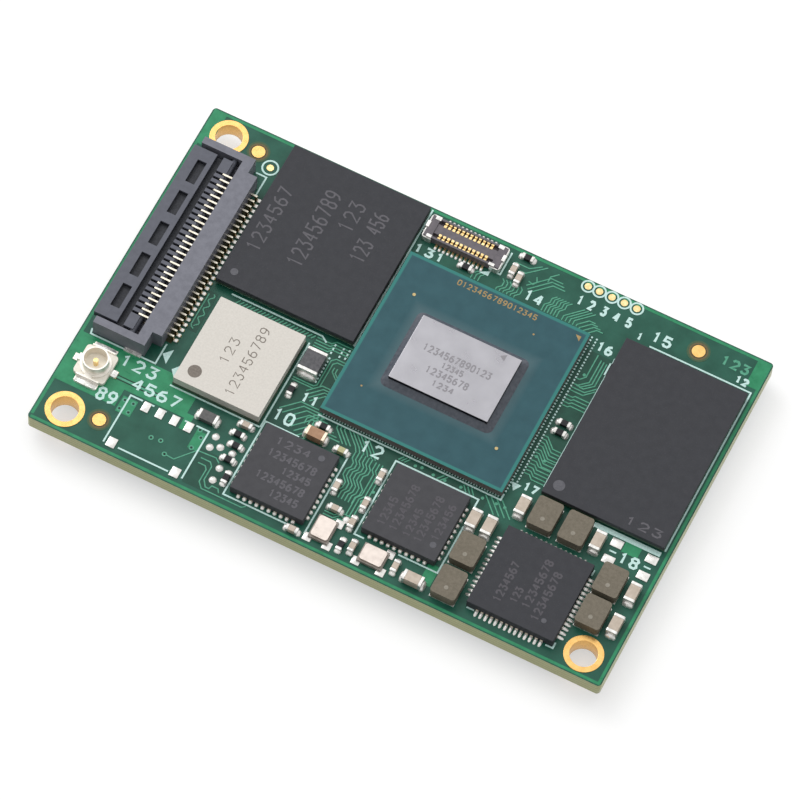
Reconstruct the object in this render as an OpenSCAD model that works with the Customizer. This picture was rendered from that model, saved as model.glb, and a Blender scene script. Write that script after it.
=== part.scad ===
// System on module: a small circuit board that carries a processor, memory, storage, a radio and power parts.
// Millimetres. The origin is at the middle of the board in plan, on the plane that the module rests on.
// +X runs along the board's length, +Y across it towards the storage chip, and +Z up.

/* [Board] */
// Length of the board
board_l = 47; // [46.7:0.1:54]
// Width of the board
board_w = 30; // [29.8:0.1:36]
// Thickness of the board
board_t = 1.3; // [0.8:0.1:2]
// Radius of the board's corners
corner_r = 0.3; // [0.1:0.1:1]
// Diameter of the plated mounting holes
hole_d = 2.1; // [1.6:0.1:2.4]
// Outer diameter of the ring around each hole
ring_d = 3; // [2.8:0.1:3.1]
// Thickness of the rings
plating_t = 0.05; // [0.03:0.01:0.1]
// Wall of the plated sleeve in each hole
sleeve_t = 0.17; // [0.16:0.01:0.25]
// Distance from a hole's centre to the short edge
hole_inset_x = 2.2; // [1.8:0.05:2.4]
// Distance from a hole's centre to the long edge
hole_inset_y = 1.85; // [1.7:0.05:1.9]

/* [Processor] */
// Side of the square substrate
processor_w = 15; // [13:0.5:15.5]
// Thickness of the substrate
processor_t = 0.65; // [0.5:0.05:0.8]
// Length of the bare die
die_l = 8.15; // [6:0.05:10]
// Width of the bare die
die_w = 5.85; // [4:0.05:9]
// Thickness of the die
die_t = 0.7; // [0.4:0.05:0.8]
// Width of the underfill around the die, at its foot
underfill_w = 0.55; // [0.3:0.05:1]
// Height of the underfill on the die's side
underfill_h = 0.4; // [0.2:0.05:0.4]
// Gap from the storage chip
processor_gap = 0.32; // [0.3:0.02:0.8]
// Distance from the long edge
processor_edge = 10.4; // [10.2:0.1:10.6]
// Step of the die from the substrate's middle, towards the front
die_step = 0.2; // [0:0.05:0.4]
// Pitch of the solder balls
ball_pitch = 0.5; // [0.4:0.1:0.8]
// Diameter of a solder ball
ball_d = 0.3; // [0.2:0.05:0.35]
// Height of a solder ball after soldering
ball_h = 0.25; // [0.15:0.05:0.3]

/* [Storage and memory] */
// Length of the storage chip
storage_l = 11.5; // [10:0.5:11.5]
// Width of the storage chip
storage_w = 13; // [11.5:0.5:13]
// Height of the storage chip's moulding
storage_t = 0.45; // [0.3:0.05:0.8]
// Gap between the flex connector's feet and the storage chip
storage_gap = 0.15; // [0.1:0.05:0.3]
// Distance from the long edge
storage_edge = 0.53; // [0.3:0.01:0.8]
// Length of the memory chip
memory_l = 10; // [8:0.5:10]
// Width of the memory chip
memory_w = 14.5; // [12:0.5:14.5]
// Height of the memory chip's moulding
memory_t = 0.35; // [0.3:0.05:0.6]
// Distance from the memory chip to the short edge
memory_edge_x = 0.6; // [0.4:0.05:0.9]
// Gap between the memory chip and the inductors in front of it
memory_gap = 0.38; // [0.3:0.02:1.5]
// Thickness of these chips' substrates
substrate_t = 0.2; // [0.15:0.05:0.3]

/* [Radio] */
// Length of the radio module
radio_l = 7.2; // [6.5:0.1:7.3]
// Width of the radio module
radio_w = 7.8; // [7:0.1:8]
// Thickness of its substrate
radio_base_t = 0.3; // [0.2:0.05:0.5]
// Height of its shielded moulding
radio_t = 0.8; // [0.5:0.05:1.2]
// Distance from the short edge
radio_edge_x = 8.2; // [8:0.1:8.3]
// Distance from the long edge
radio_edge_y = 7.4; // [7.3:0.1:7.6]

/* [Leadless chips] */
// Side of the power chip
power_w = 7; // [6.2:0.1:7.2]
// Leads on each side of the power chip
power_leads = 14; // [10:1:14]
// Pitch of the power chip's leads
power_pitch = 0.4; // [0.35:0.05:0.45]
// Distance from the power chip to the long edge
power_edge = 1.3; // [1.2:0.1:1.5]
// Side of a network chip
network_w = 6; // [5.5:0.1:6.1]
// Leads on each side of a network chip
network_leads = 10; // [6:1:10]
// Pitch of a network chip's leads
network_pitch = 0.5; // [0.4:0.05:0.5]
// Distance from the first network chip to the short edge
network_1_edge_x = 16.05; // [15.9:0.05:16.2]
// Distance from the first network chip to the long edge
network_1_edge_y = 1.5; // [1.4:0.05:1.7]
// Gap between the two network chips
network_gap = 4; // [3.9:0.05:4.15]
// Distance from the second network chip to the long edge
network_2_edge = 3.05; // [3:0.05:3.2]
// Height of the leadless chips
leadless_h = 0.85; // [0.7:0.05:1]
// Height of the leads
lead_h = 0.22; // [0.15:0.01:0.3]
// Length of a lead
lead_l = 0.4; // [0.3:0.05:0.5]
// Solder under a chip's body
standoff = 0.05; // [0.03:0.01:0.1]

/* [Power parts] */
// Length of an inductor
inductor_l = 2.5; // [2:0.1:2.6]
// Width of an inductor
inductor_w = 2; // [1.6:0.1:2.1]
// Height of an inductor
inductor_h = 1; // [0.8:0.05:1.2]
// Thickness of an inductor's terminals
terminal_t = 0.1; // [0.05:0.05:0.2]
// Length of a bulk capacitor
bulk_l = 1.6; // [1.4:0.05:1.7]
// Width of a bulk capacitor
bulk_w = 0.85; // [0.7:0.05:0.9]
// Height of a bulk capacitor
bulk_h = 0.8; // [0.5:0.05:0.9]
// Gap between neighbours in the power row
power_gap = 0.4; // [0.3:0.05:0.5]
// Gap between the power chip and the right column
power_clear = 0.55; // [0.5:0.05:0.7]
// Gap between the power chip and the row behind it or the left column
row_clear = 0.77; // [0.6:0.01:0.8]
// Gap between the two inductors of the row
row_gap = 0.49; // [0.3:0.01:0.6]
// Shift of the row from the power chip's middle
row_shift = 0.28; // [0:0.02:0.4]
// Shift of the left column from the power chip's middle
left_column_shift = 0.26; // [0.1:0.02:0.4]
// Gap between the inductors of the left column, and to the capacitors behind it
left_column_gap = 0.55; // [0.3:0.05:0.6]
// Gap between the two capacitors behind the left column
pair_gap = 0.4; // [0.2:0.05:0.5]
// Distance from the last bulk capacitor to the short edge
power_margin = 0.68; // [0.5:0.02:0.8]

/* [Small chip parts] */
// Length of a small chip part
chip_l = 1; // [0.8:0.05:1.05]
// Width of a small chip part
chip_w = 0.5; // [0.4:0.02:0.52]
// Height of a small capacitor
chip_cap_h = 0.5; // [0.3:0.05:0.6]
// Height of a small resistor
chip_res_h = 0.35; // [0.2:0.05:0.4]
// How far a chip part's metal ends stand proud of its body
end_proud = 0.02; // [0.01:0.005:0.03]
// Length of a chip part's metal end
end_l = 0.25; // [0.15:0.05:0.3]
// Length of the choke
choke_l = 2; // [1.6:0.1:2.2]
// Width of the choke
choke_w = 1.6; // [1.2:0.1:1.7]
// Height of the choke
choke_h = 1; // [0.7:0.05:1.2]
// Length of a crystal
crystal_l = 2; // [1.8:0.05:2.1]
// Width of a crystal
crystal_w = 1.6; // [1.4:0.05:1.65]
// Height of a crystal's ceramic base
crystal_base_h = 0.3; // [0.2:0.05:0.4]
// Height of a crystal's lid
crystal_lid_h = 0.2; // [0.1:0.05:0.3]
// Rim of the ceramic base around the lid
crystal_rim = 0.12; // [0.08:0.01:0.2]

/* [Flex connector] */
// Number of contacts
flex_contacts_n = 28; // [20:1:28]
// Pitch of the contacts
flex_pitch = 0.5; // [0.45:0.05:0.5]
// Thickness of a contact
flex_contact_t = 0.14; // [0.1:0.02:0.2]
// Housing beyond the last contact, at each end
flex_end = 2.25; // [2.1:0.05:2.5]
// Depth of the housing, front to back
flex_depth = 5.08; // [4.9:0.02:5.2]
// Height of the housing
flex_h = 1.7; // [1.65:0.05:2.2]
// Thickness of the housing's floor
flex_floor = 0.45; // [0.3:0.05:0.5]
// Thickness of the arms at both ends
flex_arm = 0.6; // [0.55:0.05:0.7]
// Depth of the rear band that holds the contacts
flex_band = 1.62; // [1.5:0.02:1.7]
// Distance from the short edge to the front of the housing
flex_edge_x = 1; // [0.8:0.05:1.2]
// Distance from the long edge to the end of the housing
flex_edge_y = 3.5; // [3.4:0.05:3.6]
// Length of the soldered tails behind the housing
flex_tail = 0.87; // [0.6:0.01:1]
// Overhang of the lock plate in front of the housing
lock_overhang = 0.4; // [0.2:0.05:0.5]
// Thickness of the lock plate
lock_t = 0.6; // [0.5:0.05:0.65]
// Radius of the lock's shaft
lock_shaft_r = 0.28; // [0.2:0.02:0.28]
// Running clearance of the lock's shaft and trunnions
lock_clear = 0.04; // [0.02:0.01:0.08]
// Height of the lock's axis above the board
lock_axis_h = 1.15; // [1.1:0.01:1.15]
// Gap between the lock and the arms
lock_side_gap = 0.3; // [0.2:0.05:0.4]
// Number of moulded pockets in the lock plate
pocket_n = 5; // [3:1:5]
// Length of a pocket
pocket_l = 2.1; // [1.5:0.1:2.4]
// Width of a pocket
pocket_w = 0.75; // [0.5:0.05:0.9]
// Depth of a pocket
pocket_depth = 0.35; // [0.2:0.05:0.4]

/* [Stacking socket] */
// Contacts in each of the two rows
socket_contacts_n = 12; // [8:1:12]
// Pitch of the contacts
socket_pitch = 0.35; // [0.3:0.05:0.35]
// Length of the housing
socket_l = 6.5; // [6.3:0.1:6.6]
// Width of the housing
socket_w = 1.9; // [1.8:0.1:2]
// Height of the housing
socket_h = 0.7; // [0.6:0.05:0.9]
// Thickness of the housing's long walls
socket_wall = 0.18; // [0.14:0.01:0.22]
// Thickness of the housing's floor
socket_floor = 0.3; // [0.2:0.02:0.35]
// Width of the middle ridge
socket_ridge_w = 0.84; // [0.7:0.02:0.9]
// Depth of the ridge below the rim
socket_ridge_drop = 0.08; // [0.05:0.01:0.15]
// Depth of the contacts below the rim
socket_sink = 0.06; // [0.04:0.01:0.15]
// Thickness of the contacts' sheet
socket_sheet = 0.08; // [0.05:0.01:0.1]
// Length of the soldered feet
socket_foot = 0.25; // [0.2:0.05:0.3]
// Distance from the long edge to the socket's middle
socket_edge = 1.82; // [1.7:0.02:1.9]

/* [Coax jack] */
// Side of the insulating base
coax_base_w = 2.6; // [2.4:0.1:2.7]
// Height of the insulating base
coax_base_h = 0.35; // [0.25:0.05:0.5]
// Outer diameter of the shell
coax_d = 2; // [1.8:0.05:2.1]
// Wall of the shell
coax_wall = 0.12; // [0.1:0.02:0.2]
// Height of the jack
coax_h = 1.25; // [1:0.05:1.4]
// Diameter of the flange at the shell's foot
coax_flange_d = 2.4; // [2.35:0.05:2.5]
// Diameter of the centre pin
coax_pin_d = 0.4; // [0.3:0.05:0.6]
// Depth of the centre pin below the shell's rim
coax_pin_drop = 0.3; // [0.1:0.05:0.5]
// Width of the ground tabs
coax_tab_w = 1.9; // [1.4:0.1:2]
// Reach of a tab past the base
coax_tab_reach = 0.5; // [0.3:0.05:0.55]
// Width of the signal tab
coax_signal_w = 0.6; // [0.4:0.05:0.8]
// Distance from the short edge
coax_edge_x = 2.52; // [2.3:0.02:2.6]
// Distance from the long edge
coax_edge_y = 6.1; // [5.9:0.1:6.2]

/* [Carrier connectors] */
// Contacts in each row
carrier_contacts_n = 35; // [20:1:35]
// Pitch of the contacts
carrier_pitch = 0.4; // [0.35:0.05:0.4]
// Housing beyond the last contact, at each end
carrier_end = 1.5; // [1.2:0.1:1.8]
// Width of a housing
carrier_w = 3; // [2.6:0.1:3.4]
// Height of a housing
carrier_h = 1.2; // [1:0.05:2]
// Wall of a housing
carrier_wall = 0.5; // [0.4:0.05:0.6]
// Width of the middle tongue
carrier_tongue = 0.7; // [0.5:0.05:0.8]
// Thickness of the floor of a housing
carrier_floor = 0.4; // [0.3:0.05:0.6]
// Recess of the tongue and the contacts behind the mating face
carrier_recess = 0.15; // [0.1:0.05:0.3]
// Thickness of a contact blade
blade_t = 0.12; // [0.08:0.02:0.16]
// Distance from the side connectors' middles to the short edges
carrier_inset_x = 4; // [3:0.1:5]
// Distance from the long connector's middle to the long edge
carrier_inset_y = 3.2; // [2.5:0.1:4]

/* [Hidden] */
$fn = 48;
eps = 0.01;

// Edges of the board, and the face that the parts stand on
left = -board_l / 2;
right = board_l / 2;
front = -board_w / 2;
back = board_w / 2;
top_z = carrier_h + board_t;

// Three holes, one corner has none
holes = [[left + hole_inset_x, front + hole_inset_y],
         [right - hole_inset_x, front + hole_inset_y],
         [left + hole_inset_x, back - hole_inset_y]];

// Flex connector: front of the housing, its middle and its length
flex_l = (flex_contacts_n - 1) * flex_pitch + 2 * flex_end;
flex_x = left + flex_edge_x;
flex_y = back - flex_edge_y - flex_l / 2;

// Packages as [middle x, middle y, length, width]
storage = [flex_x + flex_depth + flex_tail + storage_gap + storage_l / 2,
           back - storage_edge - storage_w / 2, storage_l, storage_w];
processor_left = storage[0] + storage_l / 2 + processor_gap;
processor = [processor_left + processor_w / 2, front + processor_edge + processor_w / 2,
             processor_w, processor_w];
radio = [left + radio_edge_x + radio_l / 2, front + radio_edge_y + radio_w / 2, radio_l, radio_w];
network_1 = [left + network_1_edge_x + network_w / 2, front + network_1_edge_y + network_w / 2,
             network_w, network_w];
network_2 = [network_1[0] + network_w + network_gap, front + network_2_edge + network_w / 2,
             network_w, network_w];
socket = [processor_left + socket_l / 2, back - socket_edge, socket_l, socket_w];

// The power chip stands in from the right edge by a column of capacitors and one of inductors
column_cap_x = right - power_margin - bulk_w / 2;
column_inductor_x = column_cap_x - bulk_w / 2 - power_gap - inductor_w / 2;
power = [column_inductor_x - inductor_w / 2 - power_clear - power_w / 2,
         front + power_edge + power_w / 2, power_w, power_w];

// Place beside a package: side is -1, 0 or 1 along X and Y, and out is the step from that edge or middle
function beside(chip, side, out) = [for (i = [0, 1]) chip[i] + side[i] * chip[i + 2] / 2 + out[i]];
// The same with the part's turn about Z
function placed(chip, side, out, turn) = concat(beside(chip, side, out), turn);

// Inductors: two in the row behind the power chip, two in the right column, two in the left column.
// The memory chip stands behind the row.
row_y = power[1] + power_w / 2 + row_clear + inductor_l / 2;
row_x = power[0] - row_shift;
row_step = (inductor_w + row_gap) / 2;
memory = [right - memory_edge_x - memory_l / 2, row_y + inductor_l / 2 + memory_gap + memory_w / 2,
          memory_l, memory_w];
left_column_x = power[0] - power_w / 2 - row_clear - inductor_w / 2;
left_column_y = power[1] + left_column_shift;
inductors = [[row_x - row_step, row_y], [row_x + row_step, row_y],
             [column_inductor_x, power[1] + inductor_l + power_gap],
             [column_inductor_x, power[1]],
             [left_column_x, left_column_y],
             [left_column_x, left_column_y - inductor_l - left_column_gap]];

// Bulk capacitors: beside the inductors, and one lying by the long edge
pair_shift = 0.15;
lying_gap = 0.73;
lying_drop = 0.8;
row_cap_step = row_step + inductor_w / 2 + power_gap + bulk_w / 2;
left_caps_y = left_column_y + inductor_l / 2 + left_column_gap + bulk_l / 2;
pair_step = (bulk_w + pair_gap) / 2;
pair_x = left_column_x - pair_shift;
bulk_caps = [[row_x - row_cap_step, row_y, 90], [row_x + row_cap_step, row_y, 90],
             [column_cap_x, inductors[2][1], 90], [column_cap_x, inductors[3][1], 90],
             [pair_x - pair_step, left_caps_y, 90], [pair_x + pair_step, left_caps_y, 90],
             [left_column_x - inductor_w / 2 - lying_gap - bulk_l / 2, inductors[5][1] - lying_drop, 0]];

// Single parts near the first network chip and the radio
filter_caps = [placed(network_1, [0, 1], [0.56, 0.95], 0)];
sense_resistors = [placed(network_1, [-1, 0], [-4.17, 1.58], 0)];
diodes = [placed(network_1, [0, 1], [2.77, 0.74], 0)];
chokes = [placed(radio, [1, 0], [1.28, 2.32], 90)];
crystal_1 = concat(beside(network_1, [1, -1], [1.53, 0.37]), 90);
crystal_2 = concat(beside(network_2, [0, -1], [-1.26, -1.45]), 0);

// Small capacitors, each placed from the chip that it serves
chip_caps = [placed(network_1, [-1, 0], [-1.39, 2.32], 0),
             placed(network_1, [0, -1], [2.5, -0.71], 0),
             placed(network_1, [1, 0], [0.78, 0.97], 90),
             placed(network_1, [1, 0], [1.52, -0.72], 0),
             placed(network_2, [-1, 0], [-0.85, -2.71], 90),
             placed(network_2, [-1, -1], [0.04, -1.43], 90),
             placed(network_2, [0, -1], [0.54, -1.43], 90),
             placed(network_2, [-1, 0], [-0.7, 1.73], 90),
             placed(network_2, [-1, 0], [-0.7, -0.9], 90),
             placed(socket, [1, 0], [0.89, -0.27], 90),
             placed(socket, [1, 0], [1.55, -0.76], 90)];

// Small resistors, each placed from the chip that it serves
chip_resistors = [placed(network_1, [-1, 0], [-1.58, 1.43], 0),
                  placed(network_1, [-1, 0], [-1.29, 0.5], 0),
                  placed(network_1, [-1, 0], [-1.27, -0.77], 0),
                  placed(network_1, [-1, 0], [-0.72, -2.19], 90),
                  placed(network_1, [0, 1], [0.7, 1.96], 0),
                  placed(network_2, [-1, -1], [-0.8, -1.67], 90),
                  placed(radio, [1, 0], [0.82, -0.22], 90),
                  placed(processor, [1, 0], [1.44, 0.16], 0),
                  placed(processor, [1, 0], [1.44, -0.68], 0),
                  placed(processor, [0, 1], [-3.39, 1.08], 0),
                  placed(socket, [1, 0], [1.39, 1.2], 0)];

coax = [left + coax_edge_x, front + coax_edge_y];

// Carrier connectors under the board as [x, y, turn]: two along the short edges and one along a long edge
carrier_l = (carrier_contacts_n - 1) * carrier_pitch + 2 * carrier_end;
carriers = [[left + carrier_inset_x, 0, 90],
            [right - carrier_inset_x, 0, 90],
            [0, back - carrier_inset_y, 0]];

// Colours of the common materials
mould = [0.28, 0.27, 0.3];
ceramic = [0.7, 0.65, 0.59];
glaze = [0.12, 0.12, 0.13];
gold = [0.95, 0.8, 0.5];

// Shared shapes

// Block centred on a package's middle, between two heights above the board
module block(chip, low, high, inset = 0) {
    translate([chip[0], chip[1], top_z + (low + high) / 2])
        cube([chip[2] - 2 * inset, chip[3] - 2 * inset, high - low], center = true);
}

// Flat rectangle with round corners
module rounded(l, w, r) {
    square([l - 2 * r, w], center = true);
    square([l, w - 2 * r], center = true);
    for (x = [-1, 1], y = [-1, 1]) translate([x * (l / 2 - r), y * (w / 2 - r)]) circle(r);
}

// Outer ring of solder joints under a package, as short barrels
module ball_ring(chip) {
    nx = floor((chip[2] - 2 * ball_d) / ball_pitch);
    ny = floor((chip[3] - 2 * ball_d) / ball_pitch);
    translate([chip[0], chip[1], top_z])
        for (i = [0 : nx], j = [0 : ny])
            if (i == 0 || i == nx || j == 0 || j == ny)
                translate([(i - nx / 2) * ball_pitch, (j - ny / 2) * ball_pitch, 0])
                    cylinder(d = ball_d, h = ball_h);
}

// Leads of a leadless chip: a row on each side and the pad in the middle
module lead_set(chip, count, pitch) {
    lead_w = pitch * 0.55;
    translate([chip[0], chip[1], top_z]) {
        for (side = [0 : 90 : 270], i = [0 : count - 1])
            rotate(side)
                translate([chip[2] / 2 - lead_l, (i - (count - 1) / 2) * pitch - lead_w / 2, 0])
                    cube([lead_l, lead_w, lead_h]);
        translate([0, 0, standoff]) cube([chip[2] * 0.65, chip[2] * 0.65, 2 * standoff], center = true);
    }
}

// Moulded body of a leadless chip, with the room that its leads take
module leadless_body(chip, count, pitch) {
    difference() {
        block(chip, standoff, leadless_h);
        lead_set(chip, count, pitch);
    }
}

// Puts a shape at each place in a list of [x, y, turn]
module at_each(places) {
    for (p = places) translate([p[0], p[1], top_z]) rotate(p[2]) children();
}

// Body of a two-ended chip part, lying along X
module chip_body(l, w, h) {
    translate([-l / 2 + end_l, -w / 2 + end_proud, end_proud])
        cube([l - 2 * end_l, w - 2 * end_proud, h - 2 * end_proud]);
}

// Metal ends of a two-ended chip part
module chip_ends(l, w, h) {
    for (x = [-l / 2, l / 2 - end_l]) translate([x, -w / 2, 0]) cube([end_l, w, h]);
}

// Board and holes

module circuit_board() {
    color([0.19, 0.38, 0.33])
    translate([0, 0, carrier_h])
    difference() {
        linear_extrude(board_t) rounded(board_l, board_w, corner_r);
        for (h = holes) translate([h[0], h[1], -eps])
            cylinder(d = hole_d + 2 * sleeve_t, h = board_t + 2 * eps);
    }
}

// Plated sleeve with a flat ring on each face of the board
module hole_plating() {
    color(gold)
    for (h = holes) translate([h[0], h[1], carrier_h]) difference() {
        union() {
            cylinder(d = hole_d + 2 * sleeve_t, h = board_t);
            for (z = [-plating_t, board_t]) translate([0, 0, z]) cylinder(d = ring_d, h = plating_t);
        }
        translate([0, 0, -plating_t - eps]) cylinder(d = hole_d, h = board_t + 2 * plating_t + 2 * eps);
    }
}

// Processor: a bare die on a substrate, soldered on balls

module processor_substrate() { color([0.23, 0.36, 0.4]) block(processor, ball_h, ball_h + processor_t); }

die_z = ball_h + processor_t;
die = [processor[0], processor[1] - die_step, die_l, die_w];

module processor_die() { color([0.76, 0.75, 0.77]) block(die, die_z, die_z + die_t); }

// Sloped bead of resin around the foot of the die
module processor_underfill() {
    foot_l = die_l + 2 * underfill_w;
    foot_w = die_w + 2 * underfill_w;
    brow = 0.05;
    color([0.43, 0.42, 0.46])
    difference() {
        translate([die[0], die[1], top_z + die_z])
            linear_extrude(underfill_h, slices = 1,
                           scale = [(die_l + 2 * brow) / foot_l, (die_w + 2 * brow) / foot_w])
                rounded(foot_l, foot_w, underfill_w);
        block(die, die_z - eps, die_z + die_t);
    }
}

module processor_balls() { color("silver") ball_ring(processor); }

// Storage and memory: moulded bodies on thin substrates, soldered on balls

module bga_substrate(chip) { color([0.25, 0.33, 0.27]) block(chip, ball_h, ball_h + substrate_t); }
module bga_body(chip, t) {
    low = ball_h + substrate_t;
    color(mould) block(chip, low, low + t);
}

module storage_body() { bga_body(storage, storage_t); }
module storage_substrate() { bga_substrate(storage); }
module storage_balls() { color("silver") ball_ring(storage); }
module memory_body() { bga_body(memory, memory_t); }
module memory_substrate() { bga_substrate(memory); }
module memory_balls() { color("silver") ball_ring(memory); }

// Radio: a metallised moulding on a substrate that is soldered flat

module radio_substrate() { color([0.3, 0.36, 0.3]) block(radio, 0, radio_base_t); }
radio_rim = 0.05;

module radio_shield() {
    color([0.87, 0.85, 0.82]) block(radio, radio_base_t, radio_base_t + radio_t, radio_rim);
}

// Leadless chips

module power_chip_body() { color(mould) leadless_body(power, power_leads, power_pitch); }
module power_chip_leads() { color("silver") lead_set(power, power_leads, power_pitch); }
module network_chip_1_body() { color(mould) leadless_body(network_1, network_leads, network_pitch); }
module network_chip_1_leads() { color("silver") lead_set(network_1, network_leads, network_pitch); }
module network_chip_2_body() { color(mould) leadless_body(network_2, network_leads, network_pitch); }
module network_chip_2_leads() { color("silver") lead_set(network_2, network_leads, network_pitch); }

// Inductors: pressed bodies with rounded corners on two flat terminals

terminal_l = inductor_l * 0.3;
inductor_corner = 0.25;

module inductor(n) {
    color([0.45, 0.41, 0.36])
    translate([inductors[n][0], inductors[n][1], top_z + terminal_t])
        linear_extrude(inductor_h - terminal_t) rounded(inductor_w, inductor_l, inductor_corner);
}

module inductor_terminals() {
    color("silver")
    for (p = inductors, y = [-inductor_l / 2, inductor_l / 2 - terminal_l])
        translate([p[0] - inductor_w / 2, p[1] + y, top_z]) cube([inductor_w, terminal_l, terminal_t]);
}

// Two-ended chip parts

module bulk_capacitor_bodies() { color(ceramic) at_each(bulk_caps) chip_body(bulk_l, bulk_w, bulk_h); }
module bulk_capacitor_ends() { color("silver") at_each(bulk_caps) chip_ends(bulk_l, bulk_w, bulk_h); }
module filter_capacitor_body() {
    color([0.5, 0.36, 0.26]) at_each(filter_caps) chip_body(bulk_l, bulk_w, bulk_h);
}
module filter_capacitor_ends() { color("silver") at_each(filter_caps) chip_ends(bulk_l, bulk_w, bulk_h); }
module chip_capacitor_bodies() { color(ceramic) at_each(chip_caps) chip_body(chip_l, chip_w, chip_cap_h); }
module chip_capacitor_ends() { color("silver") at_each(chip_caps) chip_ends(chip_l, chip_w, chip_cap_h); }
module chip_resistor_bodies() { color(glaze) at_each(chip_resistors) chip_body(chip_l, chip_w, chip_res_h); }
module chip_resistor_ends() { color("silver") at_each(chip_resistors) chip_ends(chip_l, chip_w, chip_res_h); }
module sense_resistor_body() { color(glaze) at_each(sense_resistors) chip_body(bulk_l, bulk_w, chip_cap_h); }
module sense_resistor_ends() {
    color("silver") at_each(sense_resistors) chip_ends(bulk_l, bulk_w, chip_cap_h);
}
module diode_body() { color([0.55, 0.55, 0.35]) at_each(diodes) chip_body(chip_l, chip_w, chip_cap_h); }
module diode_ends() { color("silver") at_each(diodes) chip_ends(chip_l, chip_w, chip_cap_h); }
module choke_body() { color([0.4, 0.4, 0.42]) at_each(chokes) chip_body(choke_l, choke_w, choke_h); }
module choke_ends() { color("silver") at_each(chokes) chip_ends(choke_l, choke_w, choke_h); }

// Crystals: a ceramic tray closed by a seam-welded metal lid

module crystal_base() {
    color([0.3, 0.29, 0.28]) translate([0, 0, crystal_base_h / 2])
        cube([crystal_l, crystal_w, crystal_base_h], center = true);
}

module crystal_lid() {
    color([0.8, 0.78, 0.74]) translate([0, 0, crystal_base_h])
        linear_extrude(crystal_lid_h) rounded(crystal_l - 2 * crystal_rim, crystal_w - 2 * crystal_rim, 0.2);
}

module crystal_1_base() { at_each([crystal_1]) crystal_base(); }
module crystal_1_lid() { at_each([crystal_1]) crystal_lid(); }
module crystal_2_base() { at_each([crystal_2]) crystal_base(); }
module crystal_2_lid() { at_each([crystal_2]) crystal_lid(); }

// Coax jack: an insulating base that carries a round shell with ground tabs and a centre pin with its own tab

coax_tab_t = 0.12;
coax_corner = 0.3;

module coax_tab(w) {
    translate([coax_base_w / 2, -w / 2, 0]) cube([coax_tab_reach, w, coax_tab_t]);
}

module coax_base() {
    color([0.92, 0.89, 0.84])
    translate([coax[0], coax[1], top_z]) difference() {
        linear_extrude(coax_base_h) rounded(coax_base_w, coax_base_w, coax_corner);
        translate([0, 0, -eps]) cylinder(d = coax_pin_d, h = coax_base_h + 2 * eps);
        coax_tab_root(coax_signal_w);
    }
}

// Strip that runs from the centre pin to the edge of the base
module coax_tab_root(w) {
    translate([0, -w / 2, 0]) cube([coax_base_w / 2, w, coax_tab_t]);
}

module coax_shell() {
    color([0.85, 0.8, 0.68])
    translate([coax[0], coax[1], top_z]) {
        translate([0, 0, coax_base_h]) difference() {
            union() {
                cylinder(d = coax_d, h = coax_h - coax_base_h);
                cylinder(d = coax_flange_d, h = coax_tab_t);
            }
            translate([0, 0, -eps]) cylinder(d = coax_d - 2 * coax_wall, h = coax_h);
        }
        for (side = [90, 180, 270]) rotate(side) {
            w = side == 180 ? coax_signal_w : coax_tab_w;
            coax_tab(w);
            translate([coax_base_w / 2, -w / 2, 0]) cube([coax_tab_t, w, coax_base_h + coax_tab_t]);
            translate([coax_d / 2 - coax_wall, -coax_signal_w / 2, coax_base_h])
                cube([coax_base_w / 2 - coax_d / 2 + coax_wall + coax_tab_t, coax_signal_w, coax_tab_t]);
        }
    }
}

module coax_pin() {
    color(gold)
    translate([coax[0], coax[1], top_z]) {
        cylinder(d = coax_pin_d, h = coax_h - coax_pin_drop);
        coax_tab_root(coax_signal_w);
        coax_tab(coax_signal_w);
    }
}

// Flex connector: a housing that is open at the front, stamped contacts and a lock that flips up.
// Local X runs from the front of the housing to its back, and local Y along it.

hook_gap = lock_clear;
hook_t = 0.16;
band_x = flex_depth - flex_band;
// The lock's top turns up to the band, so its axis stays this far in front of the band
lock_back = 0.61;
lock_x = band_x - lock_back;
hook_z = lock_axis_h + lock_shaft_r + hook_gap;
arm_depth = 4.3;
notch_l = 1.3;
beam_t = 0.18;
spine_in = 0.45;
spine_x = band_x + spine_in;
beam_x = 0.9;
hook_reach = 0.2;
spine_w = 0.6;
tail_h = 0.65;
foot_t = 0.12;
anchor_foot = [1.4, 0.8, 0.15];
anchor_x = 2.7;
anchor_reach = 0.3;

module at_flex() { translate([flex_x, flex_y, top_z]) children(); }

function flex_contact_y(i) = (i - (flex_contacts_n - 1) / 2) * flex_pitch;

// Side view of one stamped contact: a lower beam, a hook over the shaft, a spine, a tail and a foot
module flex_contact_profile() {
    back = spine_x + spine_w;
    drop_x = flex_depth + flex_tail * 0.6;
    polygon([[beam_x, flex_floor], [back, flex_floor], [back, tail_h - beam_t],
             [drop_x - beam_t, tail_h - beam_t], [drop_x - beam_t, 0], [flex_depth + flex_tail, 0],
             [flex_depth + flex_tail, foot_t], [drop_x, foot_t], [drop_x, tail_h], [back, tail_h],
             [back, hook_z + hook_t], [lock_x - hook_reach, hook_z + hook_t], [lock_x - hook_reach, hook_z],
             [spine_x, hook_z], [spine_x, flex_floor + beam_t], [beam_x, flex_floor + beam_t]]);
}

module flex_contact_row() {
    for (i = [0 : flex_contacts_n - 1])
        translate([0, flex_contact_y(i) + flex_contact_t / 2, 0])
            rotate([90, 0, 0]) linear_extrude(flex_contact_t) flex_contact_profile();
}

module flex_anchor_pair() {
    for (side = [-1, 1])
        translate([anchor_x, side * (flex_l / 2 + anchor_reach) - (side > 0 ? anchor_foot[1] : 0), 0])
            cube(anchor_foot);
}

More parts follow.
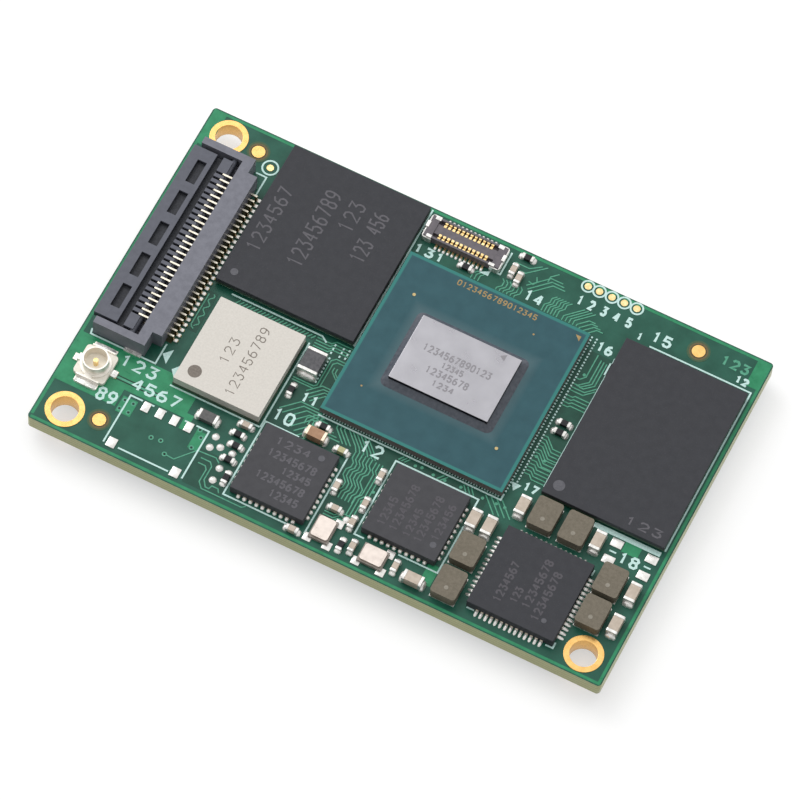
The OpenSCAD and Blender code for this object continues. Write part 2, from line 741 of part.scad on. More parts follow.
module flex_housing() {
    color([0.57, 0.57, 0.62])
    at_flex() difference() {
        union() {
            translate([0, -flex_l / 2, 0]) cube([arm_depth, flex_l, flex_floor]);
            for (y = [-flex_l / 2, flex_l / 2 - flex_arm])
                translate([0, y, 0]) cube([arm_depth, flex_arm, flex_h]);
            translate([band_x, -flex_l / 2, 0]) cube([arm_depth - band_x, flex_l, flex_h]);
            translate([arm_depth - eps, -flex_l / 2 + notch_l, 0])
                cube([flex_depth - arm_depth + eps, flex_l - 2 * notch_l, flex_h]);
        }
        flex_contact_row();
        flex_anchor_pair();
        translate([lock_x, 0, lock_axis_h]) rotate([90, 0, 0])
            cylinder(r = lock_shaft_r + lock_clear, h = flex_l - flex_arm, center = true);
    }
}

// Flip lock: a plate with pockets, a groove, and a comb whose teeth stand between the contacts' hooks
lock_drop = 0.2;
lock_low = lock_axis_h - lock_drop;
lock_half = flex_l / 2 - flex_arm - lock_side_gap;
comb_l = 0.79;
comb_x = lock_x - comb_l;
comb_gap = 0.03;
groove_w = 0.54;
groove_depth = 0.45;
pocket_x = 0.4;
pocket_gap = 0.9;
tooth_w = flex_pitch - flex_contact_t - 2 * comb_gap;
comb_half = ((flex_contacts_n - 1) * flex_pitch + flex_contact_t) / 2 + comb_gap;

module flex_lock() {
    color([0.36, 0.36, 0.39])
    at_flex() difference() {
        union() {
            translate([-lock_overhang, -lock_half, lock_low])
                cube([comb_x + lock_overhang, 2 * lock_half, lock_t]);
            for (i = [0 : flex_contacts_n - 2])
                translate([comb_x - eps, flex_contact_y(i) + flex_pitch / 2 - tooth_w / 2, lock_low])
                    cube([lock_x - comb_x + eps, tooth_w, lock_t]);
            for (y = [-lock_half, comb_half])
                translate([comb_x - eps, y, lock_low])
                    cube([lock_x - comb_x + eps, lock_half - comb_half, lock_t]);
            translate([lock_x, 0, lock_axis_h]) rotate([90, 0, 0])
                cylinder(r = lock_shaft_r, h = flex_l - flex_arm - 2 * lock_clear, center = true);
        }
        translate([comb_x - groove_w, -lock_half - eps, lock_low + lock_t - groove_depth])
            cube([groove_w, 2 * lock_half + 2 * eps, lock_t]);
        for (i = [0 : pocket_n - 1])
            translate([pocket_x, (i - (pocket_n - 1) / 2) * (pocket_l + pocket_gap) - pocket_l / 2,
                       lock_low + lock_t - pocket_depth])
                cube([pocket_w, pocket_l, lock_t]);
    }
}

module flex_contacts() { color([0.85, 0.8, 0.65]) at_flex() flex_contact_row(); }
module flex_anchors() { color("silver") at_flex() flex_anchor_pair(); }

// Stacking socket: a shallow tray with a middle ridge, contacts in two slots beside it and a metal clip at each end

socket_end_w = 0.75;
socket_clip_t = 0.12;
socket_clip_l = 0.8;
socket_clip_r = 0.25;
socket_clip_low = 0.1;
slot_out = socket_w / 2 - socket_wall;
slot_in = socket_ridge_w / 2;

module at_socket() { translate([socket[0], socket[1], top_z]) children(); }

module socket_housing() {
    slot_l = socket_l - 2 * socket_end_w;
    color([0.3, 0.3, 0.33])
    at_socket() difference() {
        translate([0, 0, socket_h / 2]) cube([socket_l - 2 * socket_clip_t, socket_w, socket_h], center = true);
        for (y = [-slot_out, slot_in])
            translate([-slot_l / 2, y, socket_floor]) cube([slot_l, slot_out - slot_in, socket_h]);
        translate([-slot_l / 2, -slot_out, socket_h - socket_ridge_drop]) cube([slot_l, 2 * slot_out, socket_h]);
        socket_contact_rows();
    }
}

// One contact in side view: a foot, a run below the wall, a leg beside it, two humps with a dip and an inner leg
module socket_contact_profile() {
    foot = socket_w / 2 + socket_foot;
    bend = socket_h - socket_sink;
    dip = bend - 1.5 * socket_sheet;
    hump = (slot_out - slot_in) * 0.34;
    tip = socket_floor + socket_sheet;
    polygon([[foot, 0], [foot, socket_sheet], [slot_out, socket_sheet], [slot_out, bend], [slot_out - hump, bend],
             [slot_out - hump, dip], [slot_in + hump, dip], [slot_in + hump, bend], [slot_in, bend], [slot_in, tip],
             [slot_in + socket_sheet, tip], [slot_in + socket_sheet, dip - socket_sheet],
             [slot_out - socket_sheet, dip - socket_sheet], [slot_out - socket_sheet, 0]]);
}

module socket_contact_rows() {
    contact_w = socket_pitch * 0.5;
    for (turn = [0, 180], i = [0 : socket_contacts_n - 1])
        rotate(turn) translate([(i - (socket_contacts_n - 1) / 2) * socket_pitch - contact_w / 2, 0, 0])
            rotate([90, 0, 90]) linear_extrude(contact_w) socket_contact_profile();
}

module socket_contacts() { color(gold) at_socket() socket_contact_rows(); }

// Bent clips that are soldered around both ends of the socket
module socket_anchors() {
    color("silver")
    at_socket() linear_extrude(socket_h - socket_clip_low) difference() {
        rounded(socket_l, socket_w + 2 * socket_clip_t, socket_clip_r);
        square([socket_l - 2 * socket_clip_t, socket_w], center = true);
        square([socket_l - 2 * socket_clip_l, 2 * socket_w], center = true);
    }
}

// Carrier connectors: trays that open downwards, with a middle tongue and two rows of contacts

module carrier_housing(n) {
    pocket_d = carrier_h - carrier_floor;
    tongue_l = carrier_l - 4 * carrier_wall;
    tongue_h = pocket_d - carrier_recess;
    color([0.16, 0.16, 0.17])
    translate([carriers[n][0], carriers[n][1], 0]) rotate(carriers[n][2]) {
        difference() {
            translate([0, 0, carrier_h / 2]) cube([carrier_l, carrier_w, carrier_h], center = true);
            translate([0, 0, pocket_d / 2 - eps])
                cube([carrier_l - 2 * carrier_wall, carrier_w - 2 * carrier_wall, pocket_d + 2 * eps],
                     center = true);
        }
        translate([-tongue_l / 2, -carrier_tongue / 2, pocket_d - tongue_h])
            cube([tongue_l, carrier_tongue, tongue_h + eps]);
    }
}

module carrier_housing_1() { carrier_housing(0); }
module carrier_housing_2() { carrier_housing(1); }
module carrier_housing_3() { carrier_housing(2); }

// Contact blades that stand against the inside of the long walls
module carrier_contacts() {
    blade = [carrier_pitch / 2, blade_t, carrier_h - carrier_floor - carrier_recess];
    color(gold)
    for (c = carriers) translate([c[0], c[1], 0]) rotate(c[2])
        for (turn = [0, 180], i = [0 : carrier_contacts_n - 1])
            rotate(turn) translate([(i - (carrier_contacts_n - 1) / 2) * carrier_pitch - blade[0] / 2,
                                    carrier_w / 2 - carrier_wall - blade_t, carrier_recess]) cube(blade);
}

circuit_board();
hole_plating();
processor_substrate();
processor_die();
processor_underfill();
processor_balls();
storage_body();
storage_substrate();
storage_balls();
memory_body();
memory_substrate();
memory_balls();
radio_shield();
radio_substrate();
power_chip_body();
power_chip_leads();
network_chip_1_body();
network_chip_1_leads();
network_chip_2_body();
network_chip_2_leads();
inductor(0);  // inductor_1
inductor(1);  // inductor_2
inductor(2);  // inductor_3
inductor(3);  // inductor_4
inductor(4);  // inductor_5
inductor(5);  // inductor_6
inductor_terminals();
bulk_capacitor_bodies();
bulk_capacitor_ends();
filter_capacitor_body();
filter_capacitor_ends();
chip_capacitor_bodies();
chip_capacitor_ends();
chip_resistor_bodies();
chip_resistor_ends();
sense_resistor_body();
sense_resistor_ends();
diode_body();
diode_ends();
choke_body();
choke_ends();
crystal_1_base();
crystal_1_lid();
crystal_2_base();
crystal_2_lid();
coax_base();
coax_shell();
coax_pin();
flex_housing();
flex_lock();
flex_contacts();
flex_anchors();
socket_housing();
socket_contacts();
socket_anchors();
carrier_housing_1();
carrier_housing_2();
carrier_housing_3();
carrier_contacts();
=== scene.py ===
import math

import bmesh
import bpy
from mathutils import Matrix, Quaternion, Vector


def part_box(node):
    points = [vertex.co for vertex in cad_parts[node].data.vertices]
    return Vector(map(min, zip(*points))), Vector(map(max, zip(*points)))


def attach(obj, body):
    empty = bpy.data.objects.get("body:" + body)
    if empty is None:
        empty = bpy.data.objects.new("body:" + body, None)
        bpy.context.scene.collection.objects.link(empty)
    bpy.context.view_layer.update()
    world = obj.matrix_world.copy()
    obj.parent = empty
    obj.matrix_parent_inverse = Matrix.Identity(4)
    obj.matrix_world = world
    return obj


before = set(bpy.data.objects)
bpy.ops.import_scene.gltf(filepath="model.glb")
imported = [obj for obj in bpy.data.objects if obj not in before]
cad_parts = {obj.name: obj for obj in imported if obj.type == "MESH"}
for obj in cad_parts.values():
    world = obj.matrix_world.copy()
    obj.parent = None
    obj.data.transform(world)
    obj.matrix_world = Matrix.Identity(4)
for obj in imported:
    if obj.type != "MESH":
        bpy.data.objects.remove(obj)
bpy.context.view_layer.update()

# Circuit board: glass-fibre laminate under a green solder mask, with bare layers on its sawn edges.
# Three corners have a plated hole for a screw, with a gold ring on each face.
# Shapes are drawn in millimetres on the board's top face, which is at height 0.
MM = 0.001
BOARD_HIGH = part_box("circuit_board")[1]
BOARD_TOP = BOARD_HIGH.z
ON_BOARD = Matrix.Translation((0, 0, BOARD_TOP)) @ Matrix.Scale(MM, 4)
BOARD_HALF_L = BOARD_HIGH.x / MM
BOARD_HALF_W = BOARD_HIGH.y / MM


def screen(red, green, blue):
    """Linear colour of a screen colour that is given in steps of 255."""
    shares = [step / 255 for step in (red, green, blue)]
    return [s / 12.92 if s < 0.04045 else ((s + 0.055) / 1.055) ** 2.4 for s in shares] + [1]


def new_finish(name, metallic=0.0):
    """Empty material with its node tree and its shader."""
    material = bpy.data.materials.new(name)
    material.use_nodes = True
    shader = material.node_tree.nodes["Principled BSDF"]
    shader.inputs["Metallic"].default_value = metallic
    shader.inputs["Specular IOR Level"].default_value = 0.3
    return material, material.node_tree, shader


def axes_of(tree, output):
    """X, Y and Z of the piece's own place or normal."""
    source = tree.nodes.new("ShaderNodeTexCoord")
    parts = tree.nodes.new("ShaderNodeSeparateXYZ")
    tree.links.new(source.outputs[output], parts.inputs[0])
    return parts.outputs


def noise_of(tree, scale, detail=3.0):
    """Fine noise in the piece's own place, with features of about a metre over the scale."""
    source = tree.nodes.new("ShaderNodeTexCoord")
    noise = tree.nodes.new("ShaderNodeTexNoise")
    noise.inputs["Scale"].default_value = scale
    noise.inputs["Detail"].default_value = detail
    tree.links.new(source.outputs["Object"], noise.inputs["Vector"])
    return noise.outputs["Fac"]


def ranged(tree, value, start, end, low=0.0, high=1.0):
    """Value brought from start..end into low..high, and held there."""
    node = tree.nodes.new("ShaderNodeMapRange")
    tree.links.new(value, node.inputs["Value"])
    for socket, number in zip(("From Min", "From Max", "To Min", "To Max"), (start, end, low, high)):
        node.inputs[socket].default_value = number
    return node.outputs["Result"]


def worked(tree, operation, first, second=0.0):
    """One step of arithmetic on node values."""
    node = tree.nodes.new("ShaderNodeMath")
    node.operation = operation
    for socket, value in zip(node.inputs, (first, second)):
        if isinstance(value, float):
            socket.default_value = value
        else:
            tree.links.new(value, socket)
    return node.outputs[0]


def mixed(tree, factor, first, second):
    """Colour between two colours, each a list or a node's output."""
    node = tree.nodes.new("ShaderNodeMix")
    node.data_type = "RGBA"
    tree.links.new(factor, node.inputs[0])
    for socket, colour in ((node.inputs[6], first), (node.inputs[7], second)):
        if isinstance(colour, list):
            socket.default_value = colour
        else:
            tree.links.new(colour, socket)
    return node.outputs[2]


def relief(tree, shader, height, depth):
    """Fine relief of the surface, with its depth in millimetres."""
    bump = tree.nodes.new("ShaderNodeBump")
    bump.inputs["Distance"].default_value = depth * MM
    tree.links.new(height, bump.inputs["Height"])
    tree.links.new(bump.outputs["Normal"], shader.inputs["Normal"])


def grained(name, dark, light, scale, roughness, metallic=0.0, depth=0.002, spread=0.1):
    """Finish whose colour, roughness and relief wander a little with fine noise."""
    material, tree, shader = new_finish(name, metallic)
    fine = noise_of(tree, scale)
    colour = mixed(tree, ranged(tree, fine, 0.3, 0.7), dark, light)
    tree.links.new(colour, shader.inputs["Base Color"])
    rough = ranged(tree, fine, 0.25, 0.75, roughness - spread, roughness + spread)
    tree.links.new(rough, shader.inputs["Roughness"])
    relief(tree, shader, fine, depth)
    return material


def dress(node, material, edge=0.0):
    """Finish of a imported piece, and a fine bevel of that many millimetres on its edges."""
    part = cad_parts[node]
    part.data.materials.clear()
    part.data.materials.append(material)
    if edge:
        weld = part.modifiers.new("weld", "WELD")
        weld.merge_threshold = 0.0005 * MM
        bevel = part.modifiers.new("bevel", "BEVEL")
        bevel.width = edge * MM
        bevel.segments = 2
        bevel.limit_method = "ANGLE"
        bevel.angle_limit = math.radians(40)


def board_finish():
    """Mask on both faces, with cloudy copper below it, and laminate with its copper layers on the edges."""
    material, tree, shader = new_finish("solder_mask")
    cloud = ranged(tree, noise_of(tree, 700), 0.35, 0.65)
    mask = mixed(tree, cloud, screen(17, 79, 63), screen(31, 92, 75))
    height = axes_of(tree, "Object")["Z"]
    layer = worked(tree, "SINE", worked(tree, "MULTIPLY", height, 2 * math.pi / (0.32 * MM)))
    fibre = ranged(tree, noise_of(tree, 9000), 0.3, 0.7)
    bare = mixed(tree, fibre, screen(204, 206, 148), screen(220, 221, 170))
    laminate = mixed(tree, ranged(tree, layer, 0.7, 1.0), bare, screen(176, 182, 120))
    facing = worked(tree, "ABSOLUTE", axes_of(tree, "Normal")["Z"])
    flat = ranged(tree, facing, 0.6, 0.8)
    tree.links.new(mixed(tree, flat, laminate, mask), shader.inputs["Base Color"])
    fine = noise_of(tree, 5000)
    tree.links.new(ranged(tree, fine, 0.3, 0.7, 0.28, 0.42), shader.inputs["Roughness"])
    relief(tree, shader, fine, 0.003)
    return material


GOLD = grained("gold_plate", screen(230, 182, 108), screen(239, 194, 122), 3000, 0.3, metallic=1.0)
dress("circuit_board", board_finish(), 0.05)
dress("hole_plating", GOLD, 0.02)

# Copper under the mask: etched foil, which shows through the mask as raised and lighter green.
# Wide pours carry ground near the antenna jack and along the edges, thin traces join the chips,
# and drilled vias go through to the other layers.
POUR_T = 0.012
TRACE_T = 0.02
TRACE_LIFT = 0.001
TRACE_W = 0.09
VIA_R = 0.2
VIA_HOLE_R = 0.1
# Lighter line of copper along the board's edge: width, distance from the edge and height
RIM_W = 0.22
RIM_INSET = 0.1
RIM_T = 0.8 * POUR_T
# Traces get one of a few heights in turn, so that no two that cross are level
LEVELS = 7
POURS = [(-23.2, -11.2, -18.2, -6.75), (-18.2, -9.65, -13.2, -6.76), (-18.0, -11.5, -16.8, -10.1),
         (-13.2, -10.6, -12.6, -9.2), (-11.9, -11.7, -11.1, -10.1), (8.1, -13.6, 9.0, -11.8),
         (20.1, -4.4, 21.4, -3.3), (-23.2, 11.6, -22.3, 14.7), (22.3, 12.4, 23.2, 14.7)]
# Places without a pour below the bundles of traces, where the mask looks darker
CLEARINGS = [(-7.75, -7.0, -4.5, 1.1), (-0.95, -12.4, 2.1, -7.1), (-4.4, -7.05, 9.6, -4.85),
             (10.55, -2.3, 12.7, 9.6), (-16.6, -2.95, -15.75, 0.75), (-14.4, 0.6, -7.8, 1.15),
             (-10.95, -14.4, -7.85, -11.3)]
CLEARING_T = 0.005
# Dark strip below the tails of the flex connector: partly the darker bare mask there, partly painted shade
# from the dense tails
TAIL_STRIP = (-17.5, -4.6, -16.95, 9.2)
# Antenna line: a trace between two slots in the pour
ANTENNA_Y = -8.95
ANTENNA_X = (-19.3, -15.5)
ANTENNA_SLOT = 0.15
# Vias that the mask covers
COVERED_VIAS = [(3.65, -5.2), (4.15, -5.1), (5.15, -5.25), (6.1, -5.25), (7.4, -5.2), (9.2, -5.25),
                (10.3, -5.2), (11.0, -5.2), (11.2, -0.3), (11.9, -0.35), (11.35, 7.5), (-0.9, -9.9),
                (1.9, -8.6), (1.5, -9.7)]
COVERED_VIA_R = 0.13
VIAS = [(-17.75, -10.4), (-17.05, -10.4), (-17.8, -11.2), (-17.05, -11.2), (-14.6, -12.25), (-13.85, -12.15),
        (-13.1, -13.0), (-11.7, -10.0), (-11.35, -10.55), (-11.6, -11.6)]
TRACES = [
    # Left of the first network chip
    [(-13.1, -13.0), (-12.3, -13.05), (-11.1, -11.6), (-9.6, -11.5), (-9.2, -11.8)],
    [(-10.6, -12.0), (-9.8, -12.0), (-9.55, -12.3), (-9.55, -13.5), (-9.2, -14.0), (-8.9, -14.0),
     (-8.8, -13.7), (-8.3, -13.7), (-8.1, -14.0)],
    [(-10.6, -12.45), (-10.0, -12.45), (-9.8, -12.7), (-9.8, -13.8), (-9.4, -14.25), (-6.1, -14.25),
     (-5.8, -14.0)],
    # Around the choke
    [(-7.7, -2.8), (-6.0, -2.8), (-5.8, -2.6), (-5.8, -0.3), (-5.5, 0.0), (-4.7, 0.0)],
    [(-7.7, -3.0), (-5.9, -3.0), (-5.55, -2.65), (-5.55, -0.5), (-5.3, -0.25), (-4.7, -0.25)],
    # Length-matching waves beside the radio, and the line back
    [(-16.05 + 0.16 * math.sin(1.05 * i), 0.6 - 0.14 * i) for i in range(23)],
    [(-16.4, 0.5), (-16.4, -2.4), (-16.3, -2.6), (-16.1, -2.7)],
    # Behind the processor, near the stacking socket
    [(2.6, 13.7), (3.8, 13.7), (4.6, 14.3)],
    [(3.2, 13.2), (3.7, 13.2), (5.0, 14.4)],
    [(4.2, 12.7), (4.6, 12.6), (4.8, 12.9), (4.6, 13.3)],
    [(5.5, 13.3), (5.5, 13.8), (6.0, 14.3)],
]
# Bundles of like traces as first path, step from one to the next, and count
BUNDLES = [
    # Between the network chips
    ([(-0.75, -6.2), (-0.75, -6.8), (-0.5, -7.1), (-0.5, -7.5), (-0.75, -7.8), (-0.75, -8.3), (-0.3, -8.8),
      (-0.3, -9.3), (-0.5, -9.6), (-0.5, -10.2)], (0.28, 0.0), 6),
    ([(1.0, -6.3), (1.0, -7.0), (1.25, -7.3), (1.25, -9.2), (0.95, -9.6), (0.95, -11.2)], (0.27, 0.0), 3),
    ([(-0.6, -11.6), (0.2, -11.6), (0.6, -11.2), (1.6, -11.2)], (0.0, -0.26), 3),
    # From the first network chip to the processor
    ([(-7.4, -5.6), (-6.2, -4.4), (-4.7, -4.4)], (0.36, -0.24), 8),
    ([(-4.6, -4.8), (-5.2, -5.4), (-5.2, -5.9)], (0.3, 0.0), 3),
    ([(-6.3, -3.4), (-5.4, -2.5), (-4.75, -2.5)], (0.2, -0.22), 4),
    ([(-5.3, -0.7), (-5.3, -1.1), (-4.75, -1.6)], (0.25, 0.0), 2),
    # Behind the radio
    ([(-14.3, 0.7), (-14.05, 1.05)], (0.3, 0.0), 22),
    # Beside the radio
    ([(-7.6, 0.25), (-6.4, 0.25), (-6.1, 0.55), (-4.8, 0.55)], (0.0, 0.25), 4),
    # From the processor to the memory chip
    ([(10.95, 4.5), (11.4, 4.5), (11.55, 4.65), (12.7, 4.65)], (0.0, 0.3), 4),
    ([(10.95, 5.9), (12.0, 5.9), (12.7, 6.6)], (0.0, 0.27), 2),
    ([(10.95, 6.5), (11.3, 6.5), (11.95, 7.1), (11.95, 9.2)], (0.25, -0.05), 3),
    ([(10.95, 7.0), (11.2, 7.0), (11.55, 7.4), (11.55, 9.5)], (0.0, 0.0), 1),
    ([(10.95, 1.55), (11.25, 1.55), (12.0, 0.8), (12.7, 0.8)], (0.0, -0.3), 4),
    ([(10.95, 0.3), (11.3, 0.3), (11.9, -0.3), (12.7, -0.3)], (0.0, -0.3), 3),
    ([(10.95, -0.7), (11.4, -0.7), (11.7, -1.0), (12.7, -1.0)], (0.0, -0.3), 5),
    # Behind the processor
    ([(6.1, 10.9), (6.1, 11.5), (6.4, 11.8), (6.4, 12.2), (6.7, 12.5)], (0.25, 0.0), 6),
    ([(7.8, 10.9), (7.8, 11.3), (9.0, 12.5)], (0.3, 0.0), 4),
    ([(9.0, 10.9), (9.0, 11.1), (9.7, 11.8), (10.2, 11.8)], (0.28, -0.16), 4),
    ([(0.2, 10.9), (0.2, 11.4), (0.5, 11.7)], (0.3, 0.0), 3),
    ([(2.3, 10.9), (2.3, 11.1), (2.6, 11.4), (2.6, 11.8), (2.4, 12.0)], (0.3, 0.0), 6),
    ([(4.2, 12.3), (5.6, 13.7), (6.6, 13.7)], (0.2, -0.25), 3),
    # In front of the processor
    ([(9.3, -4.9), (10.5, -6.1)], (0.42, 0.06), 4),
    ([(-2.9, -4.8), (-2.9, -5.1), (-1.9, -6.1)], (0.3, 0.05), 3),
    ([(-2.0, -4.8), (-1.0, -5.8), (-0.75, -6.2)], (0.32, 0.0), 6),
    ([(2.6, -4.9), (2.3, -5.3)], (0.25, 0.0), 3),
    ([(5.9, -4.9), (5.5, -5.4)], (0.3, 0.0), 2),
    ([(7.5, -4.9), (7.9, -5.4)], (0.32, 0.0), 3),
]


def plate(shape, x0, y0, x1, y1, height, low=0.0):
    """Flat block between two corners."""
    middle = Matrix.Translation(((x0 + x1) / 2, (y0 + y1) / 2, low + height / 2))
    bmesh.ops.create_cube(shape, size=1, matrix=middle @ Matrix.Diagonal((x1 - x0, y1 - y0, height, 1)))


def disc(shape, x, y, radius, height, low=0.0, segments=24):
    """Flat round block."""
    middle = Matrix.Translation((x, y, low + height / 2))
    bmesh.ops.create_cone(shape, cap_ends=True, segments=segments, radius1=radius, radius2=radius,
                          depth=height, matrix=middle)


def raised(shape, faces, height):
    """Flat faces made into a block of that height."""
    grown = bmesh.ops.extrude_face_region(shape, geom=faces)["geom"]
    tops = [item for item in grown if isinstance(item, bmesh.types.BMVert)]
    bmesh.ops.translate(shape, verts=tops, vec=(0, 0, height))


def ring(shape, x, y, inner, outer, height, low=0.0, segments=24):
    """Flat ring."""
    circle = bmesh.ops.create_circle(shape, radius=outer, segments=segments,
                                     matrix=Matrix.Translation((x, y, low)))["verts"]
    edges = list({edge for vert in circle for edge in vert.link_edges})
    grown = bmesh.ops.extrude_edge_only(shape, edges=edges)["geom"]
    inside = [item for item in grown if isinstance(item, bmesh.types.BMVert)]
    bmesh.ops.scale(shape, verts=inside, vec=(inner / outer, inner / outer, 1),
                    space=Matrix.Translation((-x, -y, -low)))
    raised(shape, [item for item in grown if isinstance(item, bmesh.types.BMFace)], height)


def strip(shape, path, width, height, low=0.0):
    """Flat bar of one width along a path, with mitred corners."""
    points = [Vector(point) for point in path]
    runs = [(b - a).normalized() for a, b in zip(points, points[1:])]
    sides = []
    for before, after in zip(runs[:1] + runs, runs + runs[-1:]):
        along = (before + after).normalized()
        mitre = width / 2 / max(along.dot(after), 0.7)
        sides.append(Vector((-along.y, along.x)) * mitre)
    ends = [shape.verts.new((*(points[0] + turn * sides[0]), low)) for turn in (1, -1)]
    edge = shape.edges.new(ends)
    faces = []
    for point, side in zip(points[1:], sides[1:]):
        grown = bmesh.ops.extrude_edge_only(shape, edges=[edge])["geom"]
        faces += [item for item in grown if isinstance(item, bmesh.types.BMFace)]
        fresh = [item for item in grown if isinstance(item, bmesh.types.BMVert)]
        fresh.sort(key=lambda vert: (vert.co - ends[0].co).length)
        for vert, turn in zip(fresh, (1, -1)):
            vert.co = (*(point + turn * side), low)
        ends = fresh
        edge = next(item for item in ends[0].link_edges if item.other_vert(ends[0]) is ends[1])
    raised(shape, faces, height)


def piece(name, shape, material, smooth=0.0):
    """Finished shape as an object that rides on the module, smooth up to an angle between faces."""
    bmesh.ops.transform(shape, matrix=ON_BOARD, verts=shape.verts)
    bmesh.ops.recalc_face_normals(shape, faces=shape.faces)
    mesh = bpy.data.meshes.new(name)
    shape.to_mesh(mesh)
    shape.free()
    if smooth:
        mesh.shade_smooth()
        mesh.set_sharp_from_angle(angle=math.radians(smooth))
    mesh.materials.append(material)
    thing = bpy.data.objects.new(name, mesh)
    bpy.context.scene.collection.objects.link(thing)
    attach(thing, "module")
    return thing


pours = bmesh.new()
for corners in POURS:
    plate(pours, *corners, POUR_T)
rim_x = BOARD_HALF_L - RIM_W / 2 - RIM_INSET
rim_y = BOARD_HALF_W - RIM_W / 2 - RIM_INSET
strip(pours, [(-rim_x, -rim_y), (rim_x, -rim_y), (rim_x, rim_y), (-rim_x, rim_y), (-rim_x, -rim_y + RIM_W)],
      RIM_W, RIM_T)
piece("copper_pours", pours,
      grained("pour_mask", screen(34, 130, 88), screen(48, 146, 102), 1800, 0.35, depth=0.002))

clear = bmesh.new()
for i, corners in enumerate(CLEARINGS):
    plate(clear, *corners, CLEARING_T + 0.1 * TRACE_LIFT * i)
piece("copper_free_areas", clear,
      grained("thin_mask", screen(12, 66, 52), screen(22, 78, 62), 1500, 0.35))

slots = bmesh.new()
for y in (ANTENNA_Y - ANTENNA_SLOT, ANTENNA_Y + ANTENNA_SLOT):
    strip(slots, [(ANTENNA_X[0], y), (ANTENNA_X[1], y)], TRACE_W, TRACE_T)
for x, y in VIAS:
    disc(slots, x, y, VIA_HOLE_R, TRACE_T, segments=12)
piece("copper_gaps", slots,
      grained("gap_mask", screen(8, 44, 34), screen(14, 56, 44), 3000, 0.45))

# Painted shade between the flex tails, laid over the darker bare mask there
tail_strip = bmesh.new()
plate(tail_strip, *TAIL_STRIP, POUR_T)
piece("tail_strip", tail_strip,
      grained("tail_shade_strip", screen(40, 48, 26), screen(58, 58, 32), 4000, 0.5))

traces = bmesh.new()
runs = list(TRACES)
for path, (step_x, step_y), count in BUNDLES:
    runs += [[(x + i * step_x, y + i * step_y) for x, y in path] for i in range(count)]
for i, path in enumerate(runs):
    strip(traces, path, TRACE_W, TRACE_T + TRACE_LIFT * (i % LEVELS))
strip(traces, [(ANTENNA_X[0], ANTENNA_Y), (ANTENNA_X[1], ANTENNA_Y)], ANTENNA_SLOT, TRACE_T)
for x, y in VIAS:
    ring(traces, x, y, VIA_HOLE_R, VIA_R, TRACE_T - TRACE_LIFT, segments=12)
for x, y in COVERED_VIAS:
    disc(traces, x, y, COVERED_VIA_R, TRACE_T + LEVELS * TRACE_LIFT, segments=12)
TRACE_MASK = grained("trace_mask", screen(70, 148, 118), screen(94, 168, 140), 4000, 0.35)
piece("copper_traces", traces, TRACE_MASK)

# Silkscreen: pale ink printed on the mask through a fine mesh. It outlines the parts, marks their first pins
# and numbers them, and the numbers here are plain counts.
INK_T = 0.03
INK_W = 0.13
NUMBER_W = 0.2
DIGIT_W = 0.6
OUTLINES = [
    # Flex connector
    [(-22.7, -6.2), (-22.6, -6.65), (-17.2, -6.65), (-17.2, -4.8)],
    [(-18.1, 11.37), (-17.2, 11.37), (-17.2, 9.5)],
    # Empty footprint in the front corner
    [(-16.55, -9.85), (-17.55, -9.85), (-17.55, -14.2)],
    [(-16.35, -14.15), (-12.2, -14.15)],
    [(-12.1, -9.82), (-11.05, -9.82), (-11.05, -14.2)],
    # Storage chip
    [(-16.3, 1.65), (-4.85, 1.65), (-4.85, 14.8)],
    [(-14.9, 1.25), (-7.3, 1.25), (-6.8, 0.9)],
    # Radio
    [(-15.4, -7.72), (-7.95, -7.72)],
    [(-7.9, -7.7), (-7.9, 0.3)],
    # First network chip
    [(-5.0, -7.1), (-7.78, -7.1), (-7.78, -13.9), (-2.2, -13.9)],
    [(-1.05, -6.5), (-1.05, -14.0)],
    # Second network chip
    [(9.0, -6.2), (9.0, -5.5), (2.2, -5.5), (2.2, -12.3), (3.0, -12.3)],
    [(5.8, -12.3), (9.0, -12.3), (9.0, -8.0)],
    # Processor
    [(-4.6, -4.76), (10.45, -4.76), (10.45, -4.2)],
    # Memory chip
    [(12.8, -2.3), (12.8, 9.8)],
    [(14.6, 11.97), (22.97, 11.97), (22.97, -2.9)],
    # Power chip
    [(12.1, -13.75), (12.7, -13.75)],
    [(18.5, -13.8), (19.1, -13.8), (19.1, -13.3)],
    [(19.05, -6.7), (19.05, -7.2)],
    # Stacking socket
    [(2.05, 14.3), (2.05, 12.2), (1.3, 12.2)],
]
# Dashed lines as start, end and number of dashes
DASHES = [((-16.09, -9.85), (-12.54, -9.85), 4), ((-6.1, 0.2), (-6.1, 1.1), 3), ((-5.4, 0.2), (-5.4, 1.1), 3),
          ((-4.95, 0.25), (-4.95, 1.15), 3), ((-6.0, -0.1), (-6.0, -2.5), 8),
          ((10.48, -4.0), (10.48, 10.7), 54), ((10.88, -2.9), (10.88, 10.7), 50),
          ((19.3, -4.71), (19.85, -4.71), 1),
          ((22.1, -4.71), (22.65, -4.71), 1), ((-4.3, -4.54), (10.2, -4.54), 66)]
# Filled marks as corners
MARKS = [[(-17.1, -5.65), (-16.5, -5.0), (-16.5, -6.3)], [(-15.9, -6.5), (-15.5, -6.0), (-15.5, -7.0)],
         [(10.9, -3.65), (11.3, -3.0), (10.5, -3.0)], [(0.5, 11.65), (1.3, 11.65), (1.3, 12.1)],
         [(12.6, 8.2), (12.8, 8.2), (12.8, 9.3), (12.6, 9.3)],
         [(17.4, -3.5), (22.8, -3.5), (22.8, -3.1), (17.4, -3.1)]]
